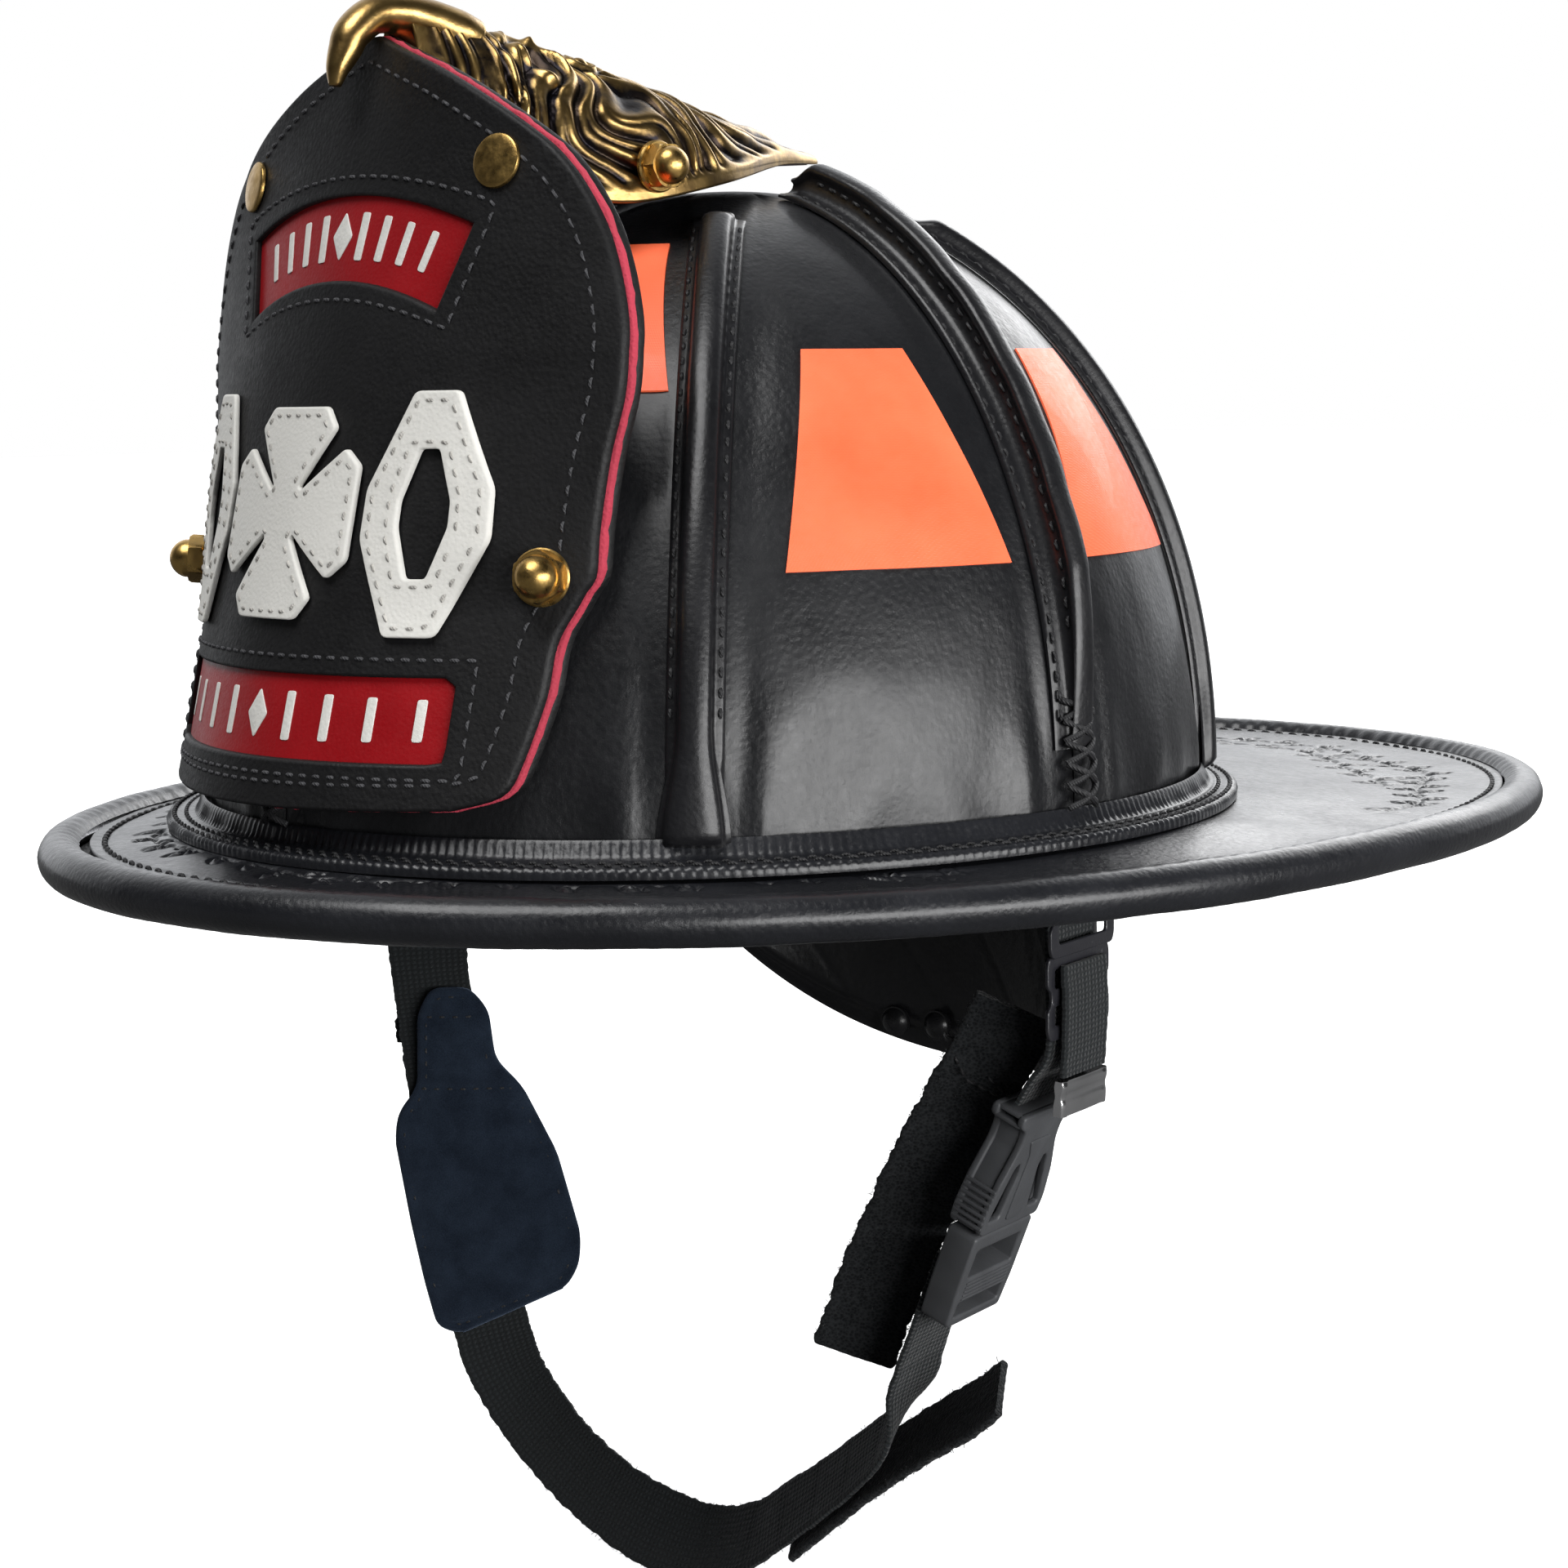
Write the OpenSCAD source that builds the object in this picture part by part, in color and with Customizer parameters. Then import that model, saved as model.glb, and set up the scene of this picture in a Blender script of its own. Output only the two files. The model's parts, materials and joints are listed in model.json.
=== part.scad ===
// Traditional leather firefighter helmet: eight-panel combed crown, rolled brim, leather
// front shield held by a cast eagle, impact cap, ratchet headband and quick-release chin strap.
// Front is -Y, the wearer's left is +X, up is +Z. The origin is the centre of the head opening
// in the plane of the brim.

/* [Crown] */
// Half length of the crown at its base, front to back
crown_half_len = 124; // [120:1:128]
// Half length of the crown's rear half at its base
crown_half_rear = 111; // [111:1:124]
// Half width of the crown at its base, side to side
crown_half_wid = 110; // [106:1:114]
// Height of the crown leather above the brim plane
crown_h = 146.7; // [142:1:152]
// Thickness of the crown leather
crown_t = 3.4; // [2.5:0.1:4]
// Height of the four tall combs above the leather
fin_h = 9; // [6:0.5:11]
// Height of the four round beads above the leather
bead_h = 5.2; // [4:0.2:6]

/* [Brim] */
// Half length of the rim's centre line, front to back
rim_half_len = 197.5; // [190:0.5:205]
// Half width of the rim's centre line, side to side
rim_half_wid = 147.2; // [142:0.2:152]
// How far the brim's centre lies behind the crown's centre
rim_shift = 37; // [32:1:42]
// Radius of the rolled edge
roll_r = 5; // [4:0.25:5.5]
// Radius of the steel wire inside the rolled edge
wire_r = 1.6; // [1:0.1:2]

/* [Front shield] */
// Height of the shield's pointed top above the brim plane
shield_top = 175.6; // [173:0.2:178]
// Lean of the shield's face, in millimetres back for each millimetre up
shield_lean = 0.262; // [0.22:0.01:0.3]
// Thickness of each leather layer
shield_leaf = 2.3; // [1.8:0.1:2.6]
// Thickness of the red piping layer between them
piping_t = 1.3; // [1:0.1:1.6]

/* [Chin strap] */
// Width of the webbing
web_w = 20; // [19:0.5:22]
// Thickness of the webbing
web_t = 1.6; // [1.2:0.1:2]
// Thickness of the suede chin pad
pad_t = 3.2; // [2.6:0.2:4]

/* [Headband] */
// Half length of the headband, front to back
band_half_len = 98; // [94:1:100]
// Half width of the headband, side to side
band_half_wid = 77; // [74:1:79]
// Height of the headband
band_h = 30; // [24:1:32]
// Thickness of the headband plastic
band_t = 1.6; // [1.2:0.2:2]

/* [Hidden] */
$fn = 48;

crown_z = 6;
crown_power = 0.95;
apex_shift = 5;
foot_gap = 0.4;
fin_top = 78;
cap_gap = 2.6;
cap_t = 2.4;
liner_t = 11;
strap_yaw = 11.67;
strap_y = 1;
hinge_z = 4;

// ---------- Solids from rows of points ----------

// Closed solid between an outer grid a and an inner grid b. Rows run upward and columns to the
// right as seen from outside; wrap joins the last column to the first.
module sheet_solid(a, b, wrap = false) {
    rows = len(a);
    cols = len(a[0]);
    spans = wrap ? cols : cols - 1;
    function id(s, r, c) = (s * rows + r) * cols + c % cols;
    skins = [for (r = [0:rows - 2], c = [0:spans - 1]) each [
        [id(0, r, c), id(0, r + 1, c), id(0, r + 1, c + 1)],
        [id(0, r, c), id(0, r + 1, c + 1), id(0, r, c + 1)],
        [id(1, r, c), id(1, r + 1, c + 1), id(1, r + 1, c)],
        [id(1, r, c), id(1, r, c + 1), id(1, r + 1, c + 1)]]];
    top = rows - 1;
    ends = [for (c = [0:spans - 1]) each [
        [id(0, 0, c), id(0, 0, c + 1), id(1, 0, c + 1)],
        [id(0, 0, c), id(1, 0, c + 1), id(1, 0, c)],
        [id(0, top, c), id(1, top, c + 1), id(0, top, c + 1)],
        [id(0, top, c), id(1, top, c), id(1, top, c + 1)]]];
    last = cols - 1;
    sides = wrap ? [] : [for (r = [0:rows - 2]) each [
        [id(0, r, 0), id(1, r, 0), id(1, r + 1, 0)],
        [id(0, r, 0), id(1, r + 1, 0), id(0, r + 1, 0)],
        [id(0, r, last), id(1, r + 1, last), id(1, r, last)],
        [id(0, r, last), id(0, r + 1, last), id(1, r + 1, last)]]];
    points = [for (grid = [a, b]) for (row = grid) each row];
    polyhedron(points, concat(skins, ends, sides), convexity = 8);
}

// Solid through a list of rings of points, capped at both ends or joined round into a loop.
module ring_solid(rings, loop = false) {
    n = len(rings);
    m = len(rings[0]);
    spans = loop ? n : n - 1;
    function id(r, i) = (r % n) * m + i % m;
    walls = [for (r = [0:spans - 1], i = [0:m - 1]) each [
        [id(r, i), id(r + 1, i), id(r + 1, i + 1)],
        [id(r, i), id(r + 1, i + 1), id(r, i + 1)]]];
    caps = loop ? [] : [for (i = [1:m - 2]) each [
        [id(0, 0), id(0, i), id(0, i + 1)],
        [id(n - 1, 0), id(n - 1, i + 1), id(n - 1, i)]]];
    polyhedron([for (ring = rings) each ring], concat(walls, caps), convexity = 8);
}

function unit(v) = v / norm(v);
function mix(a, b, t) = a + (b - a) * t;

// Flat band along a route, with a width direction at each point.
module ribbon(route, across, width, thick) {
    n = len(route);
    function along(i) = unit(route[min(i + 1, n - 1)] - route[max(i - 1, 0)]);
    function side(i) = unit(across[i] - along(i) * (across[i] * along(i)));
    function face(i) = cross(side(i), along(i));
    sheet_solid(
        [for (i = [0:n - 1]) [for (s = [-1, 1]) route[i] + side(i) * width / 2 * s + face(i) * thick / 2]],
        [for (i = [0:n - 1]) [for (s = [-1, 1]) route[i] + side(i) * width / 2 * s - face(i) * thick / 2]]);
}

// ---------- The crown's surface ----------

function half_len(a) = cos(a) > 0 ? crown_half_len : crown_half_rear;
function base_radius(az) = 1 / sqrt(pow(sin(az) / crown_half_wid, 2) + pow(cos(az) / half_len(az), 2));
function crown_rise(u) = (crown_h - crown_z) * pow(sin(u), crown_power);
function crown_normal(az, u) = unit([(crown_h - crown_z) * cos(u), base_radius(az) * sin(u)]);

// Point at azimuth az from the front and elevation angle u, off millimetres outside the
// leather and across millimetres sideways.
function crown(az, u, off = 0, across = 0) =
    let (nrm = crown_normal(az, u), r = base_radius(az) * cos(u) + off * nrm[0])
    [r * sin(az) + across * cos(az),
        -r * cos(az) + across * sin(az) + apex_shift * crown_rise(u) / (crown_h - crown_z),
        crown_z + crown_rise(u) + off * nrm[1]];

// Patch of shell between two offsets from the leather's face.
module crown_patch(az0, az1, u0, u1, outer, inner, cols = 6, rows = 9) {
    function pt(i, j, off) = crown(mix(az0, az1, i / cols), mix(u0, u1, j / rows), off);
    sheet_solid([for (j = [0:rows]) [for (i = [0:cols]) pt(i, j, outer)]],
        [for (j = [0:rows]) [for (i = [0:cols]) pt(i, j, inner)]]);
}

module crown_panels() {
    color("#15161a")
        difference() {
            for (k = [0:7])
                crown_patch(45 * k + 0.12, 45 * k + 44.88, 1, 87, 0, -crown_t);
            shield_bolt_holes();
        }
}

// Comb along one seam: section is a list of [across, off] points, right to left over the top.
module comb(az, section, u0, u1, fade_from, steps = 14) {
    function tall(u) = min(1, mix(0.3, 1, max(0, (u - u0) / (fade_from - u0))));
    ring_solid([for (k = [0:steps]) let (u = mix(u0, u1, k / steps), s = tall(u))
        [for (q = section) crown(az, u, foot_gap + q[1] * s, q[0])]]);
}

function fin_section(h) = [[-6, 0], [-6, 1.6], [-2.9, 2.6], [-2.5, h - 1.4], [-1.1, h],
    [1.1, h], [2.5, h - 1.4], [2.9, 2.6], [6, 1.6], [6, 0]];
function bead_section(h) = [[-6, 0], [-5.6, 1.2], [-3.4, 1.6], [-3.1, h - 1.8], [-1.3, h],
    [1.3, h], [3.1, h - 1.8], [3.4, 1.6], [5.6, 1.2], [6, 0]];

module fin_front() color("#101114") comb(0, fin_section(4.2), 7, fin_top, 20);
module fin_left() color("#101114") comb(90, fin_section(fin_h), 7, fin_top, 22);
module fin_rear() color("#101114") comb(180, fin_section(fin_h), 7, fin_top, 22);
module fin_right() color("#101114") comb(270, fin_section(fin_h), 7, fin_top, 22);
module crown_bead(az) color("#101114") comb(az, bead_section(bead_h), 6, 68, 7);

module reflective_patches() {
    // Each patch narrows upward; the two beside the shield sit higher than the rest.
    color("#ff6a3d") {
        for (q = [[1, 1], [2, -1], [5, 1], [6, -1]])
            patch(q[0], q[1], 23.3, 46);
        for (q = [[3, -1], [4, 1]])
            patch(q[0], q[1], 23.3, 46);
        for (q = [[0, 1], [7, -1]])
            patch(q[0], q[1], 41.5, 63.5, [11, 40], [15, 34]);
    }
}

module patch(k, dir, u0, u1, wide = [9.5, 39], narrow = [14, 31.5]) {
    cols = 4;
    rows = 4;
    function az(i, j) = let (lo = mix(wide[0], narrow[0], j / rows), hi = mix(wide[1], narrow[1], j / rows),
        a = mix(lo, hi, i / cols)) 45 * k + (dir > 0 ? a : 45 - (hi + lo - a));
    function pt(i, j, off) = crown(az(i, j), mix(u0, u1, j / rows), off);
    sheet_solid([for (j = [0:rows]) [for (i = [0:cols]) pt(i, j, 0.65)]],
        [for (j = [0:rows]) [for (i = [0:cols]) pt(i, j, 0.25)]]);
}

// ---------- The brim ----------

function rim_z(t) = cos(t) > 0 ? 2.4 * cos(t) * cos(t) : -3.4 * cos(t) * cos(t);
function rim(t) = [rim_half_wid * sin(t), rim_shift - rim_half_len * cos(t), rim_z(t)];
function collar(t, off, z) = [(crown_half_wid + off) * sin(t), -(half_len(t) + off) * cos(t), z];
rim_steps = 72;

// Ring-shaped sheet from the rim (row 0) to the crown's foot (last row), low and high faces.
module brim_sheet(high, low, rim_in, foot_off) {
    rows = 3;
    function pt(t, j, z) = let (a = rim(t), b = collar(t, foot_off, crown_z),
        out = a + unit([b[0] - a[0], b[1] - a[1], 0]) * rim_in, f = j / rows)
        [mix(out[0], b[0], f), mix(out[1], b[1], f),
            mix(a[2] + 1.2, crown_z - 1.5, f * f * (3 - 2 * f)) + z];
    sheet_solid([for (j = [0:rows]) [for (i = [0:rim_steps - 1]) pt(360 * i / rim_steps, j, high)]],
        [for (j = [0:rows]) [for (i = [0:rim_steps - 1]) pt(360 * i / rim_steps, j, low)]], wrap = true);
}

module brim_upper() color("#131418") brim_sheet(1.6, -0.8, roll_r + 1.65, 0.6);
module brim_under() color("#0e0f12") brim_sheet(-1.1, -3.1, roll_r + 1.4, -4);

// Tube of radius r round the rim, starting at radius bore when it is hollow.
module rim_tube(r, sides) {
    ring_solid([for (i = [0:rim_steps - 1]) let (t = 360 * i / rim_steps, c = rim(t),
        out = unit([sin(t) * rim_half_len, -cos(t) * rim_half_wid, 0]))
        [for (k = [0:sides - 1]) c + out * r * cos(360 * k / sides) - [0, 0, r * sin(360 * k / sides)]]],
        loop = true);
}

// C-shaped roll of leather round the wire, open on its inner side.
module rim_binding() {
    arc = 150;
    sides = 10;
    function ring(t) = let (c = rim(t), out = unit([sin(t) * rim_half_len, -cos(t) * rim_half_wid, 0]))
        concat([for (k = [0:sides]) let (a = mix(arc, -arc, k / sides))
                c + out * roll_r * cos(a) + [0, 0, roll_r * sin(a)]],
            [for (k = [sides:-2:0]) let (a = mix(arc, -arc, k / sides))
                c + out * (roll_r - 2.4) * cos(a) + [0, 0, (roll_r - 2.4) * sin(a)]]);
    color("#15161a")
        ring_solid([for (i = [0:rim_steps - 1]) ring(360 * i / rim_steps)], loop = true);
}

module rim_wire() color("silver") rim_tube(wire_r, 6);

// Flat welt that covers the joint of crown and brim, with a rising lip at the crown.
module crown_welt() {
    function pt(t, off, z) = collar(t, off, crown_z + z);
    steps = 72;
    ring = [[1.2, 6.5], [1.9, 6.5], [3.6, 2.9], [9.9, 1.9], [9.9, -0.1], [1.2, 0.9]];
    color("#0e0f12")
        ring_solid([for (i = [0:steps - 1]) let (t = 360 * i / steps)
            [for (q = ring) pt(t, q[0], q[1] + 0.4)]], loop = true);
}

// ---------- The front shield ----------

shield_z = [19, 20.5, 22, 26, 40.7, 52, 61, 65, 74.3, 88.5, 100, 109, 115, 121.7, 127, 132.7, 138.5,
    144.3, 149.5, 154.8, 161, 167, 172, shield_top];
shield_w = [50, 55, 57.8, 59.6, 62.2, 62.8, 66, 67.8, 68.3, 69.9, 72.2, 72.9, 72.6, 71.3, 69.8, 67.7, 64.5,
    60.3, 55, 47.5, 36.6, 24, 11, 1.5];
// How strongly the shield curls round the crown at height z.
function shield_k(z) = lookup(z, [[24, 0.0068], [58, 0.0065], [109, 0.0042], [150, 0.0031],
    [176, 0.0012]]);
// Front face of the shield at height z, depth millimetres back into the leather.
function shield_pt(x, z, depth = 0) = [x, -140.6 + shield_lean * z + shield_k(z) * x * x + depth, z];

module shield_layer(front, back) {
    cols = 10;
    last = len(shield_z) - 1;
    function row(i, depth) = [for (c = [0:cols])
        shield_pt(mix(-shield_w[i], shield_w[i], c / cols), shield_z[i], depth)];
    difference() {
        sheet_solid([for (i = [0:last]) row(i, front)], [for (i = [0:last]) row(i, back)]);
        shield_bolt_holes();
    }
}

shield_back = 2 * shield_leaf + piping_t + 0.1;
module shield_front() color("#131316") shield_layer(0, shield_leaf);
module shield_piping() color("#c0324a") shield_layer(shield_leaf + 0.05, shield_leaf + piping_t);
module shield_backing() color("#131316") shield_layer(shield_leaf + piping_t + 0.05, shield_back);

// Curved plate in front of the shield between heights z0 and z1.
module shield_plate(half, z0, z1, proud, cols = 10, rows = 4) {
    function pt(i, j, depth) = shield_pt(mix(-half, half, i / cols), mix(z0, z1, j / rows), depth);
    sheet_solid([for (j = [0:rows]) [for (i = [0:cols]) pt(i, j, -proud)]],
        [for (j = [0:rows]) [for (i = [0:cols]) pt(i, j, -0.35)]]);
}

module title_panel_lower() color("#a5121c") shield_plate(47.5, 28, 45, 0.8);

// Arched panel: rows follow arcs that rise towards the middle.
module title_panel_upper() {
    cols = 10;
    rows = 2;
    half = [33, 39];
    edge = [118, 135];
    middle = [125, 142.5];
    function pt(i, j, depth) = let (f = j / rows, s = 2 * i / cols - 1,
        top = mix(middle[0], middle[1], f), low = mix(edge[0], edge[1], f))
        shield_pt(s * mix(half[0], half[1], f), top - (top - low) * s * s, depth);
    color("#a5121c")
        sheet_solid([for (j = [0:rows]) [for (i = [0:cols]) pt(i, j, -0.8)]],
            [for (j = [0:rows]) [for (i = [0:cols]) pt(i, j, -0.35)]]);
}

// Four-armed cross with flared arms, centred on the origin.
module cross_outline(size, waist) {
    for (a = [0:90:270])
        rotate(a)
            polygon([[0, 0], [waist, waist], [size * 0.62, size - 5], [size * 0.62 - 4, size],
                [-size * 0.62 + 4, size], [-size * 0.62, size - 5], [-waist, waist]]);
}

module lozenge_outline(w, h, stroke) {
    difference() {
        polygon([[w, 5], [5, h], [-5, h], [-w, 5], [-w, -5], [-5, -h], [5, -h], [w, -5]]);
        polygon([[w - stroke, 2], [2, h - 1.6 * stroke], [-2, h - 1.6 * stroke], [-w + stroke, 2],
            [-w + stroke, -2], [-2, -h + 1.6 * stroke], [2, -h + 1.6 * stroke], [w - stroke, -2]]);
    }
}

module shield_emblem() {
    color("#e8e6df")
        intersection() {
            shield_plate(56, 50, 105, 1.9, 10, 6);
            translate([0, -80, 77.5]) rotate([90, 0, 0]) linear_extrude(70) {
                cross_outline(22, 5);
                for (s = [-1, 1])
                    translate([38 * s, 0]) lozenge_outline(13.5, 24.5, 8);
            }
        }
}

// Runs children at a place on the shield's face with +Z along the outward normal.
module on_shield(x, z) {
    tilt = atan(2 * shield_k(z) * x);
    slope = shield_lean + (shield_k(z + 1) - shield_k(z - 1)) / 2 * x * x;
    translate(shield_pt(x, z)) rotate([0, 0, tilt]) rotate([90 - atan(slope * cos(tilt)), 0, 0]) children();
}

module shield_rivets() {
    color("#c9a24a")
        for (s = [-1, 1])
            on_shield(43.3 * s, 147.1) {
                translate([0, 0, 0.3]) cylinder(h = 1.3, r = 5.6);
                translate([0, 0, -shield_back - 1.2]) cylinder(h = 1, r = 4);
            }
}

bolt_x = 60.3;
bolt_z = 64.9;
bolt_r = 2;
module shield_bolts() {
    color("#8f8f94")
        for (s = [-1, 1])
            on_shield(bolt_x * s, bolt_z) translate([0, 0, -13.4]) cylinder(h = 15.8, r = bolt_r);
}

module shield_bolt_holes() {
    for (s = [-1, 1])
        on_shield(bolt_x * s, bolt_z) translate([0, 0, -20]) cylinder(h = 30, r = bolt_r + 0.05);
}

module shield_spacers() {
    color("#26262a")
        for (s = [-1, 1])
            on_shield(bolt_x * s, bolt_z) translate([0, 0, -shield_back - 1.95]) difference() {
                cylinder(h = 1.65, r = 5);
                translate([0, 0, -1]) cylinder(h = 6, r = bolt_r + 0.05);
            }
}

// Brass acorn nut: washer, hexagon and dome, its bore blind and running down to the base.
module acorn_nut(flat, bore) {
    difference() {
        union() {
            translate([0, 0, 0.3]) cylinder(h = 1.2, r = flat * 0.62);
            translate([0, 0, 1.5]) cylinder(h = 3.4, r = flat / sqrt(3), $fn = 6);
            translate([0, 0, 4.9]) intersection() {
                sphere(r = flat * 0.46);
                translate([0, 0, 5]) cube(10, center = true);
            }
        }
        translate([0, 0, -1]) cylinder(h = 3.6, r = bore);
    }
}

module shield_nuts() {
    color("#b5863c")
        for (s = [-1, 1])
            on_shield(bolt_x * s, bolt_z) translate([0, 0, 0.3]) acorn_nut(9.5, bolt_r + 0.05);
}

// ---------- The eagle ----------

// Stations of the cast body: y, top, skirt height and half width.
eagle_body = [[-88, 181.6, 172, 6], [-80, 180.5, 162.2, 13], [-72, 178.8, 155.2, 19],
    [-64, 177.1, 147.2, 22.5], [-55, 174.8, 141, 25], [-46, 172.9, 141.2, 27], [-37, 171, 142.8, 28.5],
    [-27, 168.7, 145, 28.5], [-18, 166.3, 146.8, 26], [-8, 164, 148.8, 21], [2, 162.3, 150.8, 15],
    [12, 160.4, 152.6, 10], [22, 157.8, 153.6, 6], [31, 156, 154, 2.2]];
// Centre line and radius of the beak that hooks over the shield.
eagle_beak = [[-104.5, 165, 1.2], [-103.5, 168.5, 2.2], [-101.5, 172.5, 3.2], [-99.6, 176.6, 3.6],
    [-94, 180.6, 3.8], [-88, 181, 3.8], [-82, 179.5, 5.5], [-77, 177.5, 6.5]];

// Where the cross bolts hold the casting to its bracket.
eagle_pin_y = -42;
eagle_pin_z = 149;

module eagle_shell() {
    cols = 12;
    function arch(s, inset, drop) = [for (c = [0:cols]) let (a = mix(-90, 90, c / cols))
        [(s[3] - inset) * sin(a), s[0], s[2] + (s[1] - s[2] - drop) * pow(cos(a), 0.85)]];
    sheet_solid([for (s = eagle_body) arch(s, 0, 0)],
        [for (s = eagle_body) arch(s, min(2.2, s[3] * 0.5), min(2.4, (s[1] - s[2]) * 0.5))]);
}

module eagle_holder() {
    sides = 10;
    n = len(eagle_beak);
    function dir(i) = let (d = eagle_beak[min(i + 1, n - 1)] - eagle_beak[max(i - 1, 0)]) unit([d[0], d[1]]);
    color("#a8863f")
        difference() {
            union() {
                eagle_shell();
                ring_solid([for (i = [0:n - 1]) let (p = eagle_beak[i], d = dir(i))
                    [for (k = [0:sides - 1]) let (a = 360 * k / sides)
                        [p[2] * cos(a) * 1.1, p[0] + p[2] * sin(a) * d[1], p[1] - p[2] * sin(a) * d[0]]]]);
            }
            translate([-40, eagle_pin_y, eagle_pin_z]) rotate([0, 90, 0]) cylinder(h = 80, r = 2.05);
        }
}

module eagle_bracket() {
    // Steel bridge over the crown that the eagle's side bolts pass through.
    color("#77787c")
        difference() {
            union() {
                for (s = [-1, 1])
                    translate([s * 19.5 - 1, eagle_pin_y - 7, 143.4]) cube([2, 14, 13.6]);
                translate([-20.5, eagle_pin_y - 7, 155]) cube([41, 14, 2]);
            }
            translate([-40, eagle_pin_y, eagle_pin_z]) rotate([0, 90, 0]) cylinder(h = 80, r = 2.05);
        }
}

module eagle_nuts() {
    color("#b5863c")
        for (s = [-1, 1])
            translate([s * 26.3, eagle_pin_y, eagle_pin_z]) rotate([0, 90 * s, 0]) {
                translate([0, 0, 2]) acorn_nut(9, 2.02);
                translate([0, 0, -11]) cylinder(h = 14.4, r = 2);
            }
}

// ---------- Inside the shell ----------

cap_out = crown_t + cap_gap;
module dome_shell(outer, inner, u0, cols) {
    rows = 8;
    top = 84;
    // The dome closes on a small disc at its apex.
    function pt(i, j, off) = crown(360 * i / cols, mix(u0, top, j / rows), off);
    sheet_solid([for (j = [0:rows]) [for (i = [0:cols - 1]) pt(i, j, -outer)]],
        [for (j = [0:rows]) [for (i = [0:cols - 1]) pt(i, j, -inner)]], wrap = true);
}

module impact_cap() color("#2b2b2e") dome_shell(cap_out, cap_out + cap_t, 3.4, 32);
module foam_liner() color("#3a3b3d") dome_shell(cap_out + cap_t + 0.6, cap_out + cap_t + liner_t, 4, 32);

// Oval strip round the head between two azimuths, in [half length, half width].
module oval_strip(az0, az1, half_len, half_wid, thick, z0, z1, steps) {
    wrap = az1 - az0 >= 360;
    n = wrap ? steps - 1 : steps;
    function pt(i, z, off) = let (a = az0 + (az1 - az0) * i / steps)
        [(half_wid + off) * sin(a), -(half_len + off) * cos(a), z];
    sheet_solid([for (z = [z0, z1]) [for (i = [0:n]) pt(i, z, 0)]],
        [for (z = [z0, z1]) [for (i = [0:n]) pt(i, z, -thick)]], wrap);
}

band_z = -14;
tail_r = band_half_wid - 2;
tail_y = band_half_len - tail_r;
module headband() {
    color("#1f2023")
        oval_strip(-140, 140, band_half_len, band_half_wid, band_t, band_z, band_z + band_h, 36);
}

module brow_pad() {
    color("#3b2f28")
        oval_strip(-75, 75, band_half_len - band_t - 0.4, band_half_wid - band_t - 0.4, 3.4,
            band_z + 1, band_z + band_h - 1, 20);
}

module crown_straps() {
    // Three bands over the head that cross one above another and hang from the headband's keys.
    color("#1c1d20")
        for (k = [0:2]) {
            az = 30 + 60 * k;
            lift = 2.2 * k;
            route = [for (i = [0:14]) let (a = mix(-78, 78, i / 14), out = [74 * sin(az), -94 * cos(az)],
                z = 22 + (80 + lift - 22 + 14) * cos(a) - 14 * cos(78))
                [out[0] * sin(a), out[1] * sin(a), z]];
            ribbon(route, [for (p = route) [-cos(az), -sin(az), 0]], 18, 1.4);
        }
}

module band_hangers() {
    // Keys that join the headband to the impact cap; each stands between band and foam.
    color("#1f2023")
        for (k = [0:5]) {
            az = 30 + 60 * k;
            out = [(band_half_wid + 0.4) * sin(az), -(band_half_len + 0.4) * cos(az), 6];
            if (k != 2 && k != 3)
                translate(out) rotate([0, 0, az - 90]) translate([0, -7, 0]) cube([3, 14, 15]);
        }
}

// Strip of the headband's rear, slotted for the pinion, which slides round through the ratchet.
// Its angles are measured from the rear towards the wearer's left.
module band_tail(az0, az1, slot0, slot1, r) {
    translate([0, tail_y, tail_z]) difference() {
        rotate([0, 0, 90 - az1])
            rotate_extrude(angle = az1 - az0) translate([r, 0]) square([band_t, tail_h]);
        translate([0, 0, (tail_h - slot_h) / 2]) rotate([0, 0, 90 - slot1])
            rotate_extrude(angle = slot1 - slot0) translate([r - 1, 0]) square([band_t + 2, slot_h]);
    }
}

pinion_r = 4;
slot_h = 9;
tail_z = -8;
tail_h = 16;
module band_tail_left() color("#26272a") band_tail(-14, 46, -10.5, 38, tail_r - 7.2);
module band_tail_right() color("#26272a") band_tail(-46, 14, -38, 10.5, tail_r - 9.4);

module ratchet_housing() {
    color("#1f2023")
        difference() {
            translate([0, tail_y, tail_z - 4]) intersection() {
                difference() {
                    cylinder(h = tail_h + 8, r = tail_r + 1);
                    translate([0, 0, -1]) cylinder(h = tail_h + 12, r = tail_r - 12);
                }
                translate([-30, 40, -1]) cube([60, 60, tail_h + 12]);
            }
            translate([0, tail_y, tail_z - 0.5]) difference() {
                cylinder(h = tail_h + 1, r = tail_r - 5.1);
                translate([0, 0, -1]) cylinder(h = tail_h + 3, r = tail_r - 10);
            }
            translate([0, tail_y + tail_r - 6, knob_z])
                rotate([-90, 0, 0]) cylinder(h = 20, r = pinion_r + 0.05);
        }
}

knob_z = 0;
module ratchet_knob() {
    color("#2c2d31")
        translate([0, tail_y + tail_r, knob_z]) rotate([-90, 0, 0]) {
            translate([0, 0, 1.6]) cylinder(h = 6, r = 12);
            translate([0, 0, 1.6]) for (k = [0:11])
                rotate([0, 0, 30 * k]) translate([12, 0, 0]) cylinder(h = 6, r = 1.6);
            translate([0, 0, -9.8]) cylinder(h = 12, r = pinion_r);
        }
}

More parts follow.
